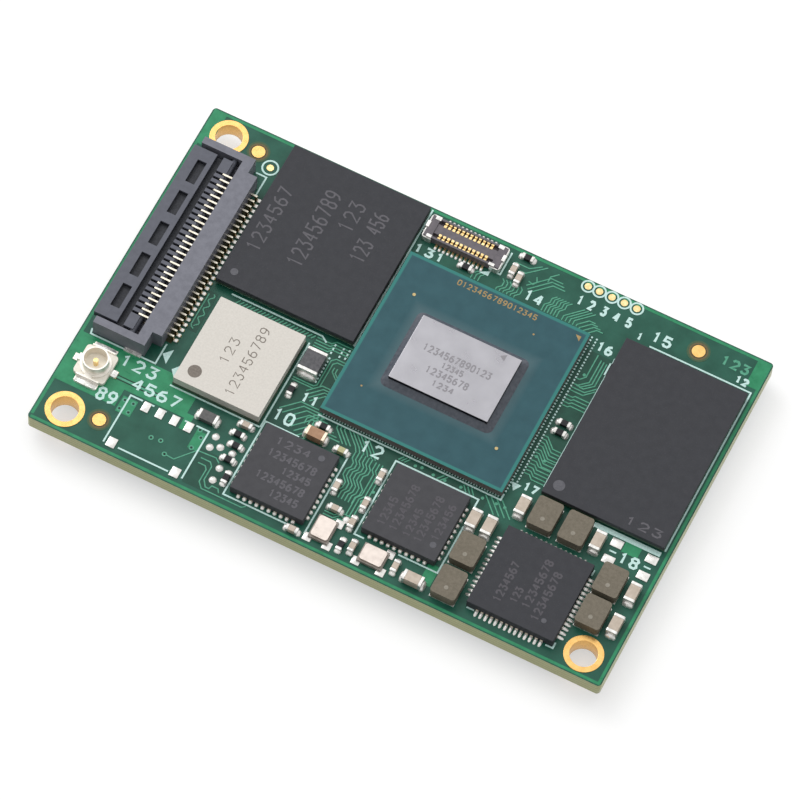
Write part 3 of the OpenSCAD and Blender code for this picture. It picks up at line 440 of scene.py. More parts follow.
# Plain numbers as text and the box that they fill
NUMBERS = [
    ("123", (-19.6, -8.0, -16.6, -6.95)), ("4567", (-17.9, -9.35, -14.0, -8.3)),
    ("89", (-19.9, -11.3, -18.3, -10.15)), ("10", (-7.6, -6.7, -5.9, -5.6)),
    ("11", (-6.4, -4.4, -5.0, -3.5)), ("12", (-0.7, -6.05, 1.1, -4.95)),
    ("131", (-4.7, 10.9, -2.2, 11.75)), ("14", (4.4, 11.1, 5.9, 12.1)),
    ("15", (14.4, 12.4, 16.0, 13.4)), ("1", (13.4, 12.0, 13.8, 12.7)),
    ("12", (21.4, 12.2, 22.5, 12.9)), ("16", (11.1, 9.75, 12.4, 10.65)),
    ("17", (11.4, -3.3, 12.6, -2.5)), ("18", (20.15, -5.35, 21.75, -4.35)),
]
# Number etched in the copper below the mask
ETCHED_BOX = (19.8, 13.1, 22.1, 14.0)
TEST_PADS_X = (8.34, 9.28, 10.32, 11.35, 12.39)
TEST_PADS_Y = 14.41
TEST_PAD_RING = (0.41, 0.55)
NUMBER_H = 0.9
NUMBERS += [(str(i + 1), (x - 0.25, 12.6, x + 0.25, 12.6 + NUMBER_H)) for i, x in enumerate(TEST_PADS_X)]
LONE_PAD = (-17.33, 12.25)
LONE_PAD_RING = (0.54, 0.68)

# Strokes of each digit in a cell that is DIGIT_W wide and 1 high
ROUND_TOP = [(0.0, 0.8), (0.15, 1.0), (0.45, 1.0), (0.6, 0.8)]
ROUND_FOOT = [(0.6, 0.2), (0.45, 0.0), (0.15, 0.0), (0.0, 0.2)]
DIGITS = {
    "0": [ROUND_TOP + ROUND_FOOT, [(0.0, 0.2), (0.0, 0.8)]],
    "1": [[(0.1, 0.8), (0.3, 1.0), (0.3, 0.0)]],
    "2": [ROUND_TOP + [(0.6, 0.6), (0.0, 0.0), (0.6, 0.0)]],
    "3": [[(0.0, 1.0), (0.6, 1.0), (0.3, 0.6), (0.5, 0.55), (0.6, 0.4)] + ROUND_FOOT],
    "4": [[(0.45, 0.0), (0.45, 1.0)], [(0.45, 1.0), (0.0, 0.3), (0.6, 0.3)]],
    "5": [[(0.6, 1.0), (0.05, 1.0), (0.0, 0.55), (0.4, 0.6), (0.6, 0.4)] + ROUND_FOOT],
    "6": [[(0.5, 1.0), (0.15, 0.85), (0.0, 0.5)] + ROUND_FOOT[::-1] + [(0.6, 0.4), (0.45, 0.55)],
          [(0.45, 0.55), (0.15, 0.55), (0.03, 0.45)]],
    "7": [[(0.0, 1.0), (0.6, 1.0), (0.2, 0.0)]],
    "8": [[(0.12, 0.55)] + ROUND_TOP + [(0.48, 0.55)], [(0.48, 0.55)] + ROUND_FOOT + [(0.12, 0.55)],
          [(0.12, 0.55), (0.48, 0.55)]],
    "9": [[(0.1, 0.0), (0.45, 0.15), (0.6, 0.5)] + ROUND_TOP[::-1] + [(0.0, 0.6), (0.15, 0.45)],
          [(0.15, 0.45), (0.45, 0.45), (0.57, 0.55)]],
}


def number(shape, text, box, stroke, height, low=0.0, turned=False):
    """Digits that fill a box, along X or turned to read along Y."""
    x0, y0, x1, y1 = box
    length, tall = (y1 - y0, x1 - x0) if turned else (x1 - x0, y1 - y0)
    advance = (length - stroke) / (len(text) - 1 + DIGIT_W)
    for i, digit in enumerate(text):
        for j, path in enumerate(DIGITS.get(digit, [])):
            spots = [((i + u) * advance + stroke / 2, v * (tall - stroke) + stroke / 2) for u, v in path]
            if turned:
                spots = [(x1 - v, y0 + u) for u, v in spots]
            else:
                spots = [(x0 + u, y0 + v) for u, v in spots]
            strip(shape, spots, stroke, height * (1 + 0.2 * j), low)


def solid_mark(shape, corners, height, low=0.0):
    """Filled flat mark between a few corners."""
    raised(shape, [shape.faces.new([shape.verts.new((x, y, low)) for x, y in corners])], height)


ink = bmesh.new()
for path in OUTLINES:
    strip(ink, path, INK_W, INK_T)
for start, end, count in DASHES:
    start, end = Vector(start), Vector(end)
    step = (end - start) / (2 * count - 1)
    for i in range(count):
        strip(ink, [start + 2 * i * step, start + (2 * i + 1) * step], INK_W, INK_T)
for corners in MARKS:
    solid_mark(ink, corners, INK_T)
for text, box in NUMBERS:
    number(ink, text, box, NUMBER_W, INK_T)
for i, x in enumerate(TEST_PADS_X):
    ring(ink, x, TEST_PADS_Y, *TEST_PAD_RING, INK_T * (1 + 0.2 * (i % 2)))
ring(ink, *LONE_PAD, *LONE_PAD_RING, INK_T)
etched = bmesh.new()
number(etched, "123", ETCHED_BOX, NUMBER_W, TRACE_T)
piece("etched_number", etched, TRACE_MASK)
INK = grained("print_ink", screen(186, 224, 217), screen(214, 242, 238), 9000, 0.55, depth=0.004)
piece("silkscreen", ink, INK)

# Gold pads: bare copper with gold plating, in openings of the mask. Three fiducials guide the placing
# machine, and the small round pads are for test probes.
PAD_T = 0.03
FIDUCIALS = [(-18.76, 13.08), (-18.66, -12.74), (18.02, 13.33)]
FIDUCIAL_R = 0.52
# Bare laminate around a fiducial, which fades into the mask, as radii and two shades
HALOS = [((0.52, 0.6), (54, 56, 38), (68, 68, 48)), ((0.6, 0.74), (98, 86, 56), (114, 100, 68)),
         ((0.74, 0.9), (62, 88, 62), (74, 98, 72))]
TEST_PAD_R = 0.28
pads = bmesh.new()
for x, y in FIDUCIALS:
    disc(pads, x, y, FIDUCIAL_R, PAD_T, segments=32)
probe_pads = bmesh.new()
for x in TEST_PADS_X:
    disc(probe_pads, x, TEST_PADS_Y, TEST_PAD_R, PAD_T)
disc(probe_pads, *LONE_PAD, TEST_PAD_R, PAD_T)
PALE_GOLD = grained("pale_gold", screen(226, 196, 134), screen(246, 222, 168), 4000, 0.28, metallic=1.0)
piece("gold_pads", pads, GOLD)
piece("probe_pads", probe_pads, PALE_GOLD)
for i, (radii, dark, light) in enumerate(HALOS, 1):
    halo = bmesh.new()
    for x, y in FIDUCIALS:
        ring(halo, x, y, *radii, PAD_T / 2, segments=32)
    piece("fiducial_halo_%d" % i, halo,
          grained("halo_%d" % i, screen(*dark), screen(*light), 6000, 0.6))

# Solder: tin alloy that was printed as paste and melted in an oven. It draws up into rounded beads at the
# ends of the parts and leaves bright domes on the empty pads.
SOLDER = grained("solder", screen(214, 212, 208), screen(246, 244, 240), 2600, 0.28,
                 metallic=0.55, depth=0.008)
BOXY = 0.7
DOMES = [(-10.42, -9.95), (-10.42, -10.93), (-9.72, -10.58), (-8.69, -10.63), (-8.98, -12.15),
         (-8.98, -13.23), (1.18, -11.56)]
DOME_R = 0.3
DOME_H = 0.14
TINNED_H = 0.08
CORNER_PAD = 0.34
# Solder at the tails of the flex connector: place along X, half size and height
FLEX_FOOT_X = -16.74
FLEX_FOOT = (0.17, 0.15)
FLEX_FOOT_H = 0.16
SOCKET_Y = 13.2
SOCKET_REACH = 0.22
JACK_BEAD_H = 0.2
JACK_BEAD_BOXY = 0.4
END_CLIMB = 0.6
PAD_SOFT = 0.3
# Solder on the tabs of the antenna jack as middle and half size
JACK_BEADS = [(-19.45, -8.9, 0.3, 0.34), (-20.98, -7.35, 0.95, 0.3), (-20.98, -10.5, 0.95, 0.34)]
# Tinned pads of parts that were left off, as middle and size
TINNED = [(x, -10.21, 0.6, 0.83) for x in (-16.09, -14.91, -13.72, -12.54)]
TINNED += [(x, -13.99, 0.72, 0.83) for x in (-16.96, -11.7)]
TINNED += [(x, y, 0.93, 0.7) for x in (19.57, 22.39) for y in (-3.96, -5.46)]
# End pieces of the two-ended parts with the bodies that they belong to
ENDED = [("bulk_capacitor_ends", "bulk_capacitor_bodies"), ("filter_capacitor_ends", "filter_capacitor_body"),
         ("chip_capacitor_ends", "chip_capacitor_bodies"), ("chip_resistor_ends", "chip_resistor_bodies"),
         ("sense_resistor_ends", "sense_resistor_body"), ("diode_ends", "diode_body"),
         ("choke_ends", "choke_body")]
BEAD_REACH = 0.24
BEAD_MARGIN = 0.03
# Leadless chips with the reach and the climb of the beads at their leads
LEADLESS = {"power_chip": (0.5, 0.13), "network_chip_1": (0.24, 0.18), "network_chip_2": (0.22, 0.18)}


def solids_of(node):
    """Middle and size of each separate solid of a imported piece, in board millimetres."""
    shape = bmesh.new()
    shape.from_mesh(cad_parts[node].data)
    bmesh.ops.remove_doubles(shape, verts=shape.verts, dist=0.0005 * MM)
    bmesh.ops.transform(shape, matrix=ON_BOARD.inverted(), verts=shape.verts)
    seen = set()
    solids = []
    for first in shape.verts:
        if first in seen:
            continue
        seen.add(first)
        island = [first]
        for vert in island:
            near = [edge.other_vert(vert) for edge in vert.link_edges]
            fresh = [other for other in near if other not in seen]
            seen.update(fresh)
            island += fresh
        low = Vector([min(vert.co[axis] for vert in island) for axis in range(3)])
        high = Vector([max(vert.co[axis] for vert in island) for axis in range(3)])
        solids.append(((low + high) / 2, high - low))
    shape.free()
    return solids


def bead(shape, x, y, half_x, half_y, height, boxy=BOXY, segments=10):
    """Rounded hump of solder on the board: round with a boxy share of 1, and squarer below that."""
    verts = bmesh.ops.create_uvsphere(shape, u_segments=segments, v_segments=4, radius=1)["verts"]
    for vert in verts:
        vert.co = [math.copysign(abs(share) ** boxy, share) for share in vert.co]
        vert.co.z = max(vert.co.z, 0.0)
    spread = Matrix.Diagonal((half_x, half_y, height, 1))
    bmesh.ops.transform(shape, matrix=Matrix.Translation((x, y, 0)) @ spread, verts=verts)


def pad(shape, x, y, half_x, half_y, height, low=0.0):
    """Flat tinned pad with softened edges."""
    middle = Matrix.Translation((x, y, low + height / 2))
    spread = Matrix.Diagonal((2 * half_x, 2 * half_y, height, 1))
    made = bmesh.ops.create_cube(shape, size=1, matrix=middle @ spread)
    edges = list({edge for vert in made["verts"] for edge in vert.link_edges})
    bmesh.ops.bevel(shape, geom=edges, offset=PAD_SOFT * height, affect="EDGES", segments=2, profile=0.5,
                    material=-1)


def joint(shape, middle, size, core, climb, reach, margin):
    """Bead of solder at the outer face of a part's end, which looks along X or Y from the part's core."""
    step = middle - core
    if abs(step.x) > abs(step.y):
        edge = middle.x + math.copysign(size.x / 2, step.x)
        bead(shape, edge, middle.y, reach, size.y / 2 + margin, climb)
    else:
        edge = middle.y + math.copysign(size.y / 2, step.y)
        bead(shape, middle.x, edge, size.x / 2 + margin, reach, climb)


solder = bmesh.new()
for x, y in DOMES:
    bead(solder, x, y, DOME_R, DOME_R, DOME_H, 1.0, 16)
for x, y, length, width in TINNED:
    pad(solder, x, y, length / 2, width / 2, TINNED_H)
for ends, bodies in ENDED:
    cores = [middle for middle, size in solids_of(bodies)]
    for middle, size in solids_of(ends):
        core = min(cores, key=lambda spot: (spot - middle).length)
        joint(solder, middle, size, core, END_CLIMB * size.z, BEAD_REACH, BEAD_MARGIN)
for chip, (reach, climb) in LEADLESS.items():
    core = solids_of(chip + "_body")[0][0]
    for middle, size in solids_of(chip + "_leads"):
        if size.x < 1:
            joint(solder, middle, size, core, climb, reach, BEAD_MARGIN)
for crystal in ("crystal_1", "crystal_2"):
    middle, size = solids_of(crystal + "_base")[0]
    for turn_x, turn_y in ((-1, -1), (1, -1), (1, 1)):
        x, y = middle.x + turn_x * size.x / 2, middle.y + turn_y * size.y / 2
        pad(solder, x, y, CORNER_PAD, CORNER_PAD, TINNED_H)
for middle, size in solids_of("flex_contacts"):
    pad(solder, FLEX_FOOT_X, middle.y, *FLEX_FOOT, FLEX_FOOT_H)
for middle, size in solids_of("socket_contacts"):
    outer = middle.y + math.copysign(size.y / 2, middle.y - SOCKET_Y)
    bead(solder, middle.x, outer, size.x / 2 + BEAD_MARGIN, SOCKET_REACH, TINNED_H)
for x, y, half_x, half_y in JACK_BEADS:
    bead(solder, x, y, half_x, half_y, JACK_BEAD_H, JACK_BEAD_BOXY)
piece("solder_joints", solder, SOLDER, smooth=60)

# Processor: a bare polished silicon die, turned face down on a laminate of its own and held by a bead of
# resin. The laminate stands on solder balls, has a lighter rim where its mask ends, and a few gold spots.
RIM = 0.26
STAIN = 0.75
MARK_T = 0.006
DIE_MARKS = [("1234567890123", (0.0, 2.95, 5.6, 3.6)), ("12345", (1.9, 2.2, 3.7, 2.75)),
             ("12345678", (1.0, 1.35, 4.5, 2.0)), ("1234", (1.9, 0.55, 3.7, 1.1))]
SPOTS = [(-2.69, 7.17), (8.44, -1.53)]
DULL_SPOTS = [(-2.69, -1.53), (6.67, 8.35)]
SPOT_R = 0.13
DULL_SPOT_R = 0.6 * SPOT_R
PRINT_BOX = (-0.3, 9.45, 6.3, 9.95)
PRINT_W = 0.085
DIE_MARK_W = 0.12
DIE_CORNER = [(5.4, 5.2), (5.85, 4.9), (5.85, 5.5)]
FIRST_PIN = (9.9, 9.85)
FIRST_PIN_SIDE = 0.45


def height_of(node):
    """Height of a piece's top above the board, in millimetres."""
    return (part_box(node)[1].z - BOARD_TOP) / MM


def inside(tree, node):
    """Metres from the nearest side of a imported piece's box, seen from above, and negative outside it."""
    low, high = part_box(node)
    place = axes_of(tree, "Object")
    gaps = []
    for axis in (0, 1):
        middle = (low[axis] + high[axis]) / 2
        off = worked(tree, "ABSOLUTE", worked(tree, "SUBTRACT", place[axis], middle))
        gaps.append(worked(tree, "SUBTRACT", high[axis] - middle, off))
    return worked(tree, "MINIMUM", *gaps)


def processor_laminate():
    """Blue-green mask with a lighter rim along the edges, and a pale stain where the resin has bled out."""
    material, tree, shader = new_finish("processor_laminate")
    rim = ranged(tree, inside(tree, "processor_substrate"), (RIM - 0.04) * MM, (RIM + 0.04) * MM, 1.0, 0.0)
    cloud = ranged(tree, noise_of(tree, 900), 0.3, 0.7)
    field = mixed(tree, cloud, screen(34, 79, 88), screen(42, 87, 96))
    stain = ranged(tree, inside(tree, "processor_underfill"), -STAIN * MM, 0.0, 0.0, 0.7)
    field = mixed(tree, stain, field, screen(76, 104, 110))
    face = mixed(tree, rim, field, screen(44, 124, 118))
    flat = ranged(tree, axes_of(tree, "Normal")["Z"], 0.6, 0.8)
    tree.links.new(mixed(tree, flat, screen(112, 96, 95), face), shader.inputs["Base Color"])
    fine = noise_of(tree, 6000)
    tree.links.new(ranged(tree, fine, 0.3, 0.7, 0.3, 0.45), shader.inputs["Roughness"])
    relief(tree, shader, fine, 0.003)
    return material


def silicon():
    """Ground silicon: bright and faintly cloudy on its back, with a painted shade that makes its sides near
    black.
    """
    material, tree, shader = new_finish("polished_silicon", 1.0)
    cloud = ranged(tree, noise_of(tree, 500), 0.3, 0.7)
    face = mixed(tree, cloud, screen(158, 157, 162), screen(166, 165, 170))
    # Faces that do not look up get a near-black colour: painted shade on the die's sides
    flat = ranged(tree, axes_of(tree, "Normal")["Z"], 0.3, 0.7)
    tree.links.new(mixed(tree, flat, screen(40, 40, 46), face), shader.inputs["Base Color"])
    tree.links.new(ranged(tree, cloud, 0.0, 1.0, 0.26, 0.34), shader.inputs["Roughness"])
    relief(tree, shader, cloud, 0.0004)
    return material


dress("processor_substrate", processor_laminate(), 0.03)
dress("processor_die", silicon(), 0.03)
dress("processor_underfill", grained("underfill_resin", screen(74, 79, 88), screen(92, 96, 105), 3500, 0.16,
                                     depth=0.004, spread=0.06))
dress("processor_balls", SOLDER)
top = height_of("processor_substrate")
spots = bmesh.new()
for x, y in SPOTS:
    disc(spots, x, y, SPOT_R, PAD_T, top, segments=16)
DULL_GOLD = grained("dull_gold", screen(176, 156, 108), screen(196, 176, 128), 5000, 0.4, metallic=0.6)
piece("processor_gold_spots", spots, DULL_GOLD)
printed = bmesh.new()
number(printed, "0123456789012345", PRINT_BOX, PRINT_W, MARK_T, top)
for x, y in DULL_SPOTS:
    disc(printed, x, y, DULL_SPOT_R, MARK_T, top, segments=12)
x, y = FIRST_PIN
solid_mark(printed, [(x, y), (x - FIRST_PIN_SIDE, y), (x, y - FIRST_PIN_SIDE)], MARK_T, top)
piece("processor_number", printed,
      grained("dull_print", screen(158, 132, 84), screen(178, 150, 100), 6000, 0.5))
die_marks = bmesh.new()
top = height_of("processor_die")
for text, box in DIE_MARKS:
    number(die_marks, text, box, DIE_MARK_W, MARK_T, top)
solid_mark(die_marks, DIE_CORNER, MARK_T, top)
DIE_MARK = grained("die_mark", screen(126, 124, 128), screen(138, 136, 140), 6000, 0.5, metallic=1.0)
piece("die_marks", die_marks, DIE_MARK)

# Storage and memory: silicon stacks moulded in black epoxy with glass filler, on thin laminates with solder
# balls. A round dimple in the moulding marks the first pin, and a laser has burnt faint numbers into it.
BODY_EDGE = 0.03
DIMPLE_T = 0.01
LASER_W = 0.14
MEMORY_BOX = (19.4, -2.6, 22.3, -1.85)
# Burnt rows as text and the box that they fill, read along Y
STORAGE_MARKS = [("1234567", (-15.75, 4.9, -14.55, 10.8)), ("123456789", (-12.5, 5.2, -11.15, 12.2)),
                 ("123", (-10.45, 9.6, -9.15, 12.2)), ("123 456", (-8.5, 7.7, -7.2, 12.2))]


def mould(name, dark, light):
    """Epoxy moulding with fine flecks of filler and a matt, slightly uneven skin."""
    material, tree, shader = new_finish(name)
    skin = ranged(tree, noise_of(tree, 1500), 0.35, 0.65)
    fleck = ranged(tree, noise_of(tree, 16000, 1.0), 0.64, 0.8)
    colour = mixed(tree, fleck, mixed(tree, skin, dark, light), screen(72, 72, 77))
    tree.links.new(colour, shader.inputs["Base Color"])
    fine = noise_of(tree, 9000)
    tree.links.new(ranged(tree, fine, 0.3, 0.7, 0.55, 0.65), shader.inputs["Roughness"])
    relief(tree, shader, fine, 0.002)
    return material


MOULD = mould("chip_mould", screen(51, 52, 57), screen(55, 56, 61))
LASER = grained("laser_mark", screen(88, 87, 92), screen(102, 100, 106), 6000, 0.6)
LAMINATE = grained("laminate", screen(52, 74, 58), screen(70, 92, 70), 5000, 0.5)
DIMPLE = grained("dimple_mould", screen(84, 84, 90), screen(98, 98, 104), 6000, 0.4)
for chip in ("storage", "memory"):
    dress(chip + "_body", MOULD, BODY_EDGE)
    dress(chip + "_substrate", LAMINATE)
    dress(chip + "_balls", SOLDER)
dimples = bmesh.new()
disc(dimples, -15.4, 2.58, 0.3, DIMPLE_T, height_of("storage_body"))
disc(dimples, 13.85, -2.05, 0.45, DIMPLE_T, height_of("memory_body"), segments=32)
piece("chip_dimples", dimples, DIMPLE)
burnt = bmesh.new()
for text, box in STORAGE_MARKS:
    number(burnt, text, box, LASER_W, MARK_T, height_of("storage_body"), turned=True)
number(burnt, "123", MEMORY_BOX, LASER_W, MARK_T, height_of("memory_body"))
piece("chip_marks", burnt, LASER)

# Radio: a moulded block with a sprayed metal coat that screens it, on a laminate that is soldered flat.
# It has burnt numbers and a filled round mark at the first pin.
RADIO_MARKS = [("123456789", (-11.4, -6.9, -10.6, -0.7)), ("123", (-13.0, -4.7, -12.2, -2.5))]
RADIO_MARK_W = 0.075
SHIELD = grained("shield_coat", screen(212, 207, 199), screen(222, 217, 209), 7000, 0.55)
dress("radio_shield", SHIELD, 0.04)
dress("radio_substrate", LAMINATE)
radio_mark = bmesh.new()
top = height_of("radio_shield")
disc(radio_mark, -14.07, -6.36, 0.53, DIMPLE_T, top, segments=32)
for text, box in RADIO_MARKS:
    number(radio_mark, text, box, RADIO_MARK_W, MARK_T, top, turned=True)
piece("radio_marks", radio_mark,
      grained("burnt_coat", screen(112, 104, 96), screen(136, 128, 119), 8000, 0.6))

# Leadless chips: square epoxy mouldings with tinned copper leads flush in their lower edges. One manages the
# power and two drive the network. A small dimple marks the first pin.
LEAD = grained("contact_metal", screen(176, 166, 146), screen(212, 202, 180), 3000, 0.3,
               metallic=1.0, depth=0.004)
# Burnt rows as text, the box that they fill and whether they read along Y
LEADLESS_MARKS = [
    ("1234", (-6.2, -8.8, -3.4, -8.1), False), ("12345678", (-6.3, -9.9, -2.35, -9.2), False),
    ("12345", (-4.7, -10.85, -2.35, -10.2), False), ("12345678", (-6.3, -11.9, -2.35, -11.2), False),
    ("12345", (-4.7, -12.9, -2.35, -12.2), False), ("12345", (3.3, -11.1, 4.0, -8.6), True),
    ("12345678", (4.3, -11.1, 5.0, -7.0), True), ("12345", (5.4, -11.1, 6.05, -8.6), True),
    ("12345678", (6.3, -11.1, 7.0, -7.0), True), ("123456", (7.4, -10.4, 8.05, -7.2), True),
    ("1234567", (13.55, -12.7, 14.25, -9.2), True), ("123", (14.7, -12.2, 15.35, -10.9), True),
    ("12345678", (15.65, -12.2, 16.35, -7.9), True), ("12345678", (16.65, -12.8, 17.35, -8.5), True)]
LEADLESS_DIMPLES = [(17.69, -12.5, 0.2), (-2.55, -8.3, 0.25), (7.84, -10.79, 0.25)]
PALE_MOULD = mould("pale_mould", screen(64, 64, 68), screen(69, 69, 73))
for chip in LEADLESS:
    dress(chip + "_body", MOULD if chip == "power_chip" else PALE_MOULD, BODY_EDGE)
    dress(chip + "_leads", LEAD)
leadless_dimples = bmesh.new()
leadless_top = height_of("power_chip_body")
for x, y, radius in LEADLESS_DIMPLES:
    disc(leadless_dimples, x, y, radius, DIMPLE_T, leadless_top)
piece("leadless_dimples", leadless_dimples, DIMPLE)
leadless_marks = bmesh.new()
faint_marks = bmesh.new()
for text, box, turned in LEADLESS_MARKS:
    marks = faint_marks if turned else leadless_marks
    number(marks, text, box, LASER_W, MARK_T, leadless_top, turned)
piece("leadless_marks", leadless_marks, LASER)
piece("faint_marks", faint_marks,
      grained("faint_mark", screen(78, 76, 81), screen(90, 87, 93), 6000, 0.6))

# Inductors: coils pressed inside blocks of iron powder with rounded corners, on two flat tinned terminals.
# A small round dimple is left in the top by the press.
INDUCTOR_DIMPLE_R = 0.17


def pressed_iron():
    """Iron powder bound with resin: brown-grey with dark and pale grains."""
    material, tree, shader = new_finish("pressed_iron")
    coarse = ranged(tree, noise_of(tree, 5000), 0.35, 0.65)
    fleck = ranged(tree, noise_of(tree, 14000, 1.0), 0.6, 0.75)
    body = mixed(tree, coarse, screen(108, 101, 87), screen(120, 112, 98))
    colour = mixed(tree, fleck, body, screen(132, 124, 110))
    tree.links.new(colour, shader.inputs["Base Color"])
    fine = noise_of(tree, 8000)
    tree.links.new(ranged(tree, fine, 0.3, 0.7, 0.5, 0.65), shader.inputs["Roughness"])
    relief(tree, shader, fine, 0.004)
    return material


IRON = pressed_iron()
INDUCTORS = ["inductor_%d" % i for i in range(1, 7)]
for node in INDUCTORS:
    dress(node, IRON, 0.06)
dress("inductor_terminals", SOLDER)
moulded = bmesh.new()
for node in INDUCTORS:
    middle, size = solids_of(node)[0]
    y = middle.y - size.y / 5
    disc(moulded, middle.x, y, INDUCTOR_DIMPLE_R, DIMPLE_T, height_of(node), segments=16)
piece("inductor_dimples", moulded,
      grained("iron_skin", screen(138, 132, 120), screen(152, 146, 134), 6000, 0.45))

# Two-ended chip parts: fired ceramic or moulded blocks with silvered, tinned ends. The bulk and small
# capacitors are pale, the filter capacitor is brown, the resistors have a black or grey glaze, and the choke
# is ferrite.
CERAMIC = grained("capacitor_ceramic", screen(189, 175, 159), screen(208, 194, 179), 2500, 0.4, depth=0.004)
GLAZE = grained("resistor_glaze", screen(22, 22, 25), screen(36, 36, 40), 5000, 0.35)
CHIP_BODIES = {
    "bulk_capacitor_bodies": CERAMIC,
    "chip_capacitor_bodies": CERAMIC,
    "chip_resistor_bodies": GLAZE,
    "sense_resistor_body": grained("grey_glaze", screen(84, 84, 84), screen(104, 103, 102), 4000, 0.4),
    "filter_capacitor_body": grained("brown_ceramic", screen(160, 122, 94), screen(184, 146, 116), 2500, 0.4),
    "diode_body": grained("olive_mould", screen(178, 175, 130), screen(198, 194, 150), 4000, 0.5),
    "choke_body": grained("ferrite", screen(72, 72, 76), screen(100, 99, 102), 4000, 0.4, depth=0.006),
}
for node, material in CHIP_BODIES.items():
    dress(node, material, 0.03)
CREAM_ENDS = grained("cream_ends", screen(222, 204, 180), screen(238, 222, 202), 2500, 0.4, metallic=1.0)
for ends, bodies in ENDED:
    dress(ends, CREAM_ENDS if ends == "filter_capacitor_ends" else SOLDER, 0.07)

# Crystals: quartz blanks in fired ceramic trays, which are soldered to the board at their corners.
# A seam-welded metal lid closes each one.
LID = grained("lid_metal", screen(204, 193, 185), screen(215, 204, 196), 2500, 0.35,
              metallic=1.0, depth=0.003)
TRAY = grained("dark_ceramic", screen(138, 131, 123), screen(160, 152, 144), 4000, 0.55)
for crystal in ("crystal_1", "crystal_2"):
    dress(crystal + "_base", TRAY, 0.03)
    dress(crystal + "_lid", LID, 0.03)

# Antenna jack: a drawn and plated shell with a gold centre pin, moulded into a cream plastic base.
# It is soldered by three tabs.
dress("coax_base", grained("cream_plastic", screen(240, 234, 220), screen(250, 245, 234), 3000, 0.5), 0.04)
JACK = grained("jack_metal", screen(236, 231, 221), screen(250, 246, 239), 2500, 0.45, metallic=0.6)
dress("coax_shell", JACK, 0.02)
dress("coax_pin", PALE_GOLD, 0.02)

# Flex connector: a moulded grey housing with a dark flip lock over stamped contacts. Its tails and its two
# end anchors are soldered to the board, and the lock turns up on its shaft to take the cable.
# Depths below the lock's top, in millimetres, over which the painted shade gives way to the plain skin
LOCK_FLAT = (0.25, 0.1)


def lock_plastic():
    """Dark moulding, with a painted shade on its faces more than a little below its top, such as the pockets
    and the groove, but not on faces that look down.
    """
    material, tree, shader = new_finish("dark_plastic")
    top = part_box("flex_lock")[1].z
    flat = ranged(tree, axes_of(tree, "Object")["Z"], *[top - drop * MM for drop in LOCK_FLAT])
    flat = worked(tree, "MAXIMUM", flat, ranged(tree, axes_of(tree, "Normal")["Z"], -0.5, -0.8))
    fine = noise_of(tree, 2500)
    skin = mixed(tree, ranged(tree, fine, 0.3, 0.7), screen(89, 91, 101), screen(99, 101, 111))
    # Painted shade for the pockets and the groove, much darker than the plain skin
    coarse = ranged(tree, noise_of(tree, 9000), 0.35, 0.65)
    painted_shade = mixed(tree, coarse, screen(33, 35, 41), screen(50, 52, 59))
    tree.links.new(mixed(tree, flat, painted_shade, skin), shader.inputs["Base Color"])
    tree.links.new(ranged(tree, fine, 0.3, 0.7, 0.42, 0.58), shader.inputs["Roughness"])
    relief(tree, shader, fine, 0.004)
    return material


def spring_bronze():
    """Plated bronze: pale on the hooks and darker and more golden on the low tails."""
    material, tree, shader = new_finish("contact_bronze", 1.0)
    high = ranged(tree, axes_of(tree, "Object")["Z"], BOARD_TOP + 0.45 * MM, BOARD_TOP + 0.6 * MM)
    fine = noise_of(tree, 3000)
    bright = mixed(tree, ranged(tree, fine, 0.3, 0.7), screen(200, 193, 176), screen(230, 224, 208))
    tree.links.new(mixed(tree, high, screen(188, 165, 104), bright), shader.inputs["Base Color"])
    tree.links.new(ranged(tree, fine, 0.3, 0.7, 0.24, 0.36), shader.inputs["Roughness"])
    relief(tree, shader, fine, 0.003)
    return material


GREY = grained("grey_plastic", screen(112, 113, 123), screen(126, 127, 137), 2500, 0.5, depth=0.004)
dress("flex_housing", GREY, 0.03)
dress("flex_lock", lock_plastic(), 0.03)
dress("flex_contacts", spring_bronze())
dress("flex_anchors", SOLDER, 0.02)

# Stacking socket: a small grey moulded tray with two rows of gold contacts folded over its walls.
# Metal clips at both ends are soldered to the board and hold it down.
SOCKET_HEADS = (0.42, 0.74)
SOCKET_HEAD_HALF = (0.11, 0.1)
SOCKET_HEAD_T = 0.03
# Lugs of the clips that fold over the ends, as middle and half size
SOCKET_LUGS = [(-3.98, 14.0, 0.23, 0.17), (1.28, 14.0, 0.23, 0.17), (-4.0, 12.32, 0.21, 0.13),
               (1.22, 12.32, 0.23, 0.13), (-4.5, 13.25, 0.13, 0.28), (1.84, 13.22, 0.13, 0.28)]
SOCKET_LUG_TOP = 0.74
SOCKET_LUG_T = 0.06
dress("socket_housing", grained("socket_plastic", screen(98, 93, 99), screen(114, 108, 113), 3000, 0.5), 0.02)
dress("socket_contacts", PALE_GOLD)
dress("socket_anchors", SOLDER, 0.02)
heads = bmesh.new()
socket_low, socket_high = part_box("socket_housing")
socket_y = (socket_low.y + socket_high.y) / 2 / MM
head_low = height_of("socket_contacts") - SOCKET_HEAD_T / 2
for middle, size in solids_of("socket_contacts"):
    for reach in SOCKET_HEADS:
        y = socket_y + math.copysign(reach, middle.y - socket_y)
        pad(heads, middle.x, y, *SOCKET_HEAD_HALF, SOCKET_HEAD_T, head_low)
piece("socket_heads", heads, PALE_GOLD)
lugs = bmesh.new()
for x, y, half_x, half_y in SOCKET_LUGS:
    pad(lugs, x, y, half_x, half_y, SOCKET_LUG_T, SOCKET_LUG_TOP - SOCKET_LUG_T)
piece("socket_lugs", lugs, SOLDER)

# Carrier connectors: three black trays below the board with two rows of gold blades each. They plug into the
# carrier board and hold the module up.
BLACK = grained("black_plastic", screen(26, 26, 28), screen(38, 38, 41), 3000, 0.5, depth=0.004)
for i in range(1, 4):
    dress("carrier_housing_%d" % i, BLACK, 0.04)
dress("carrier_contacts", GOLD)

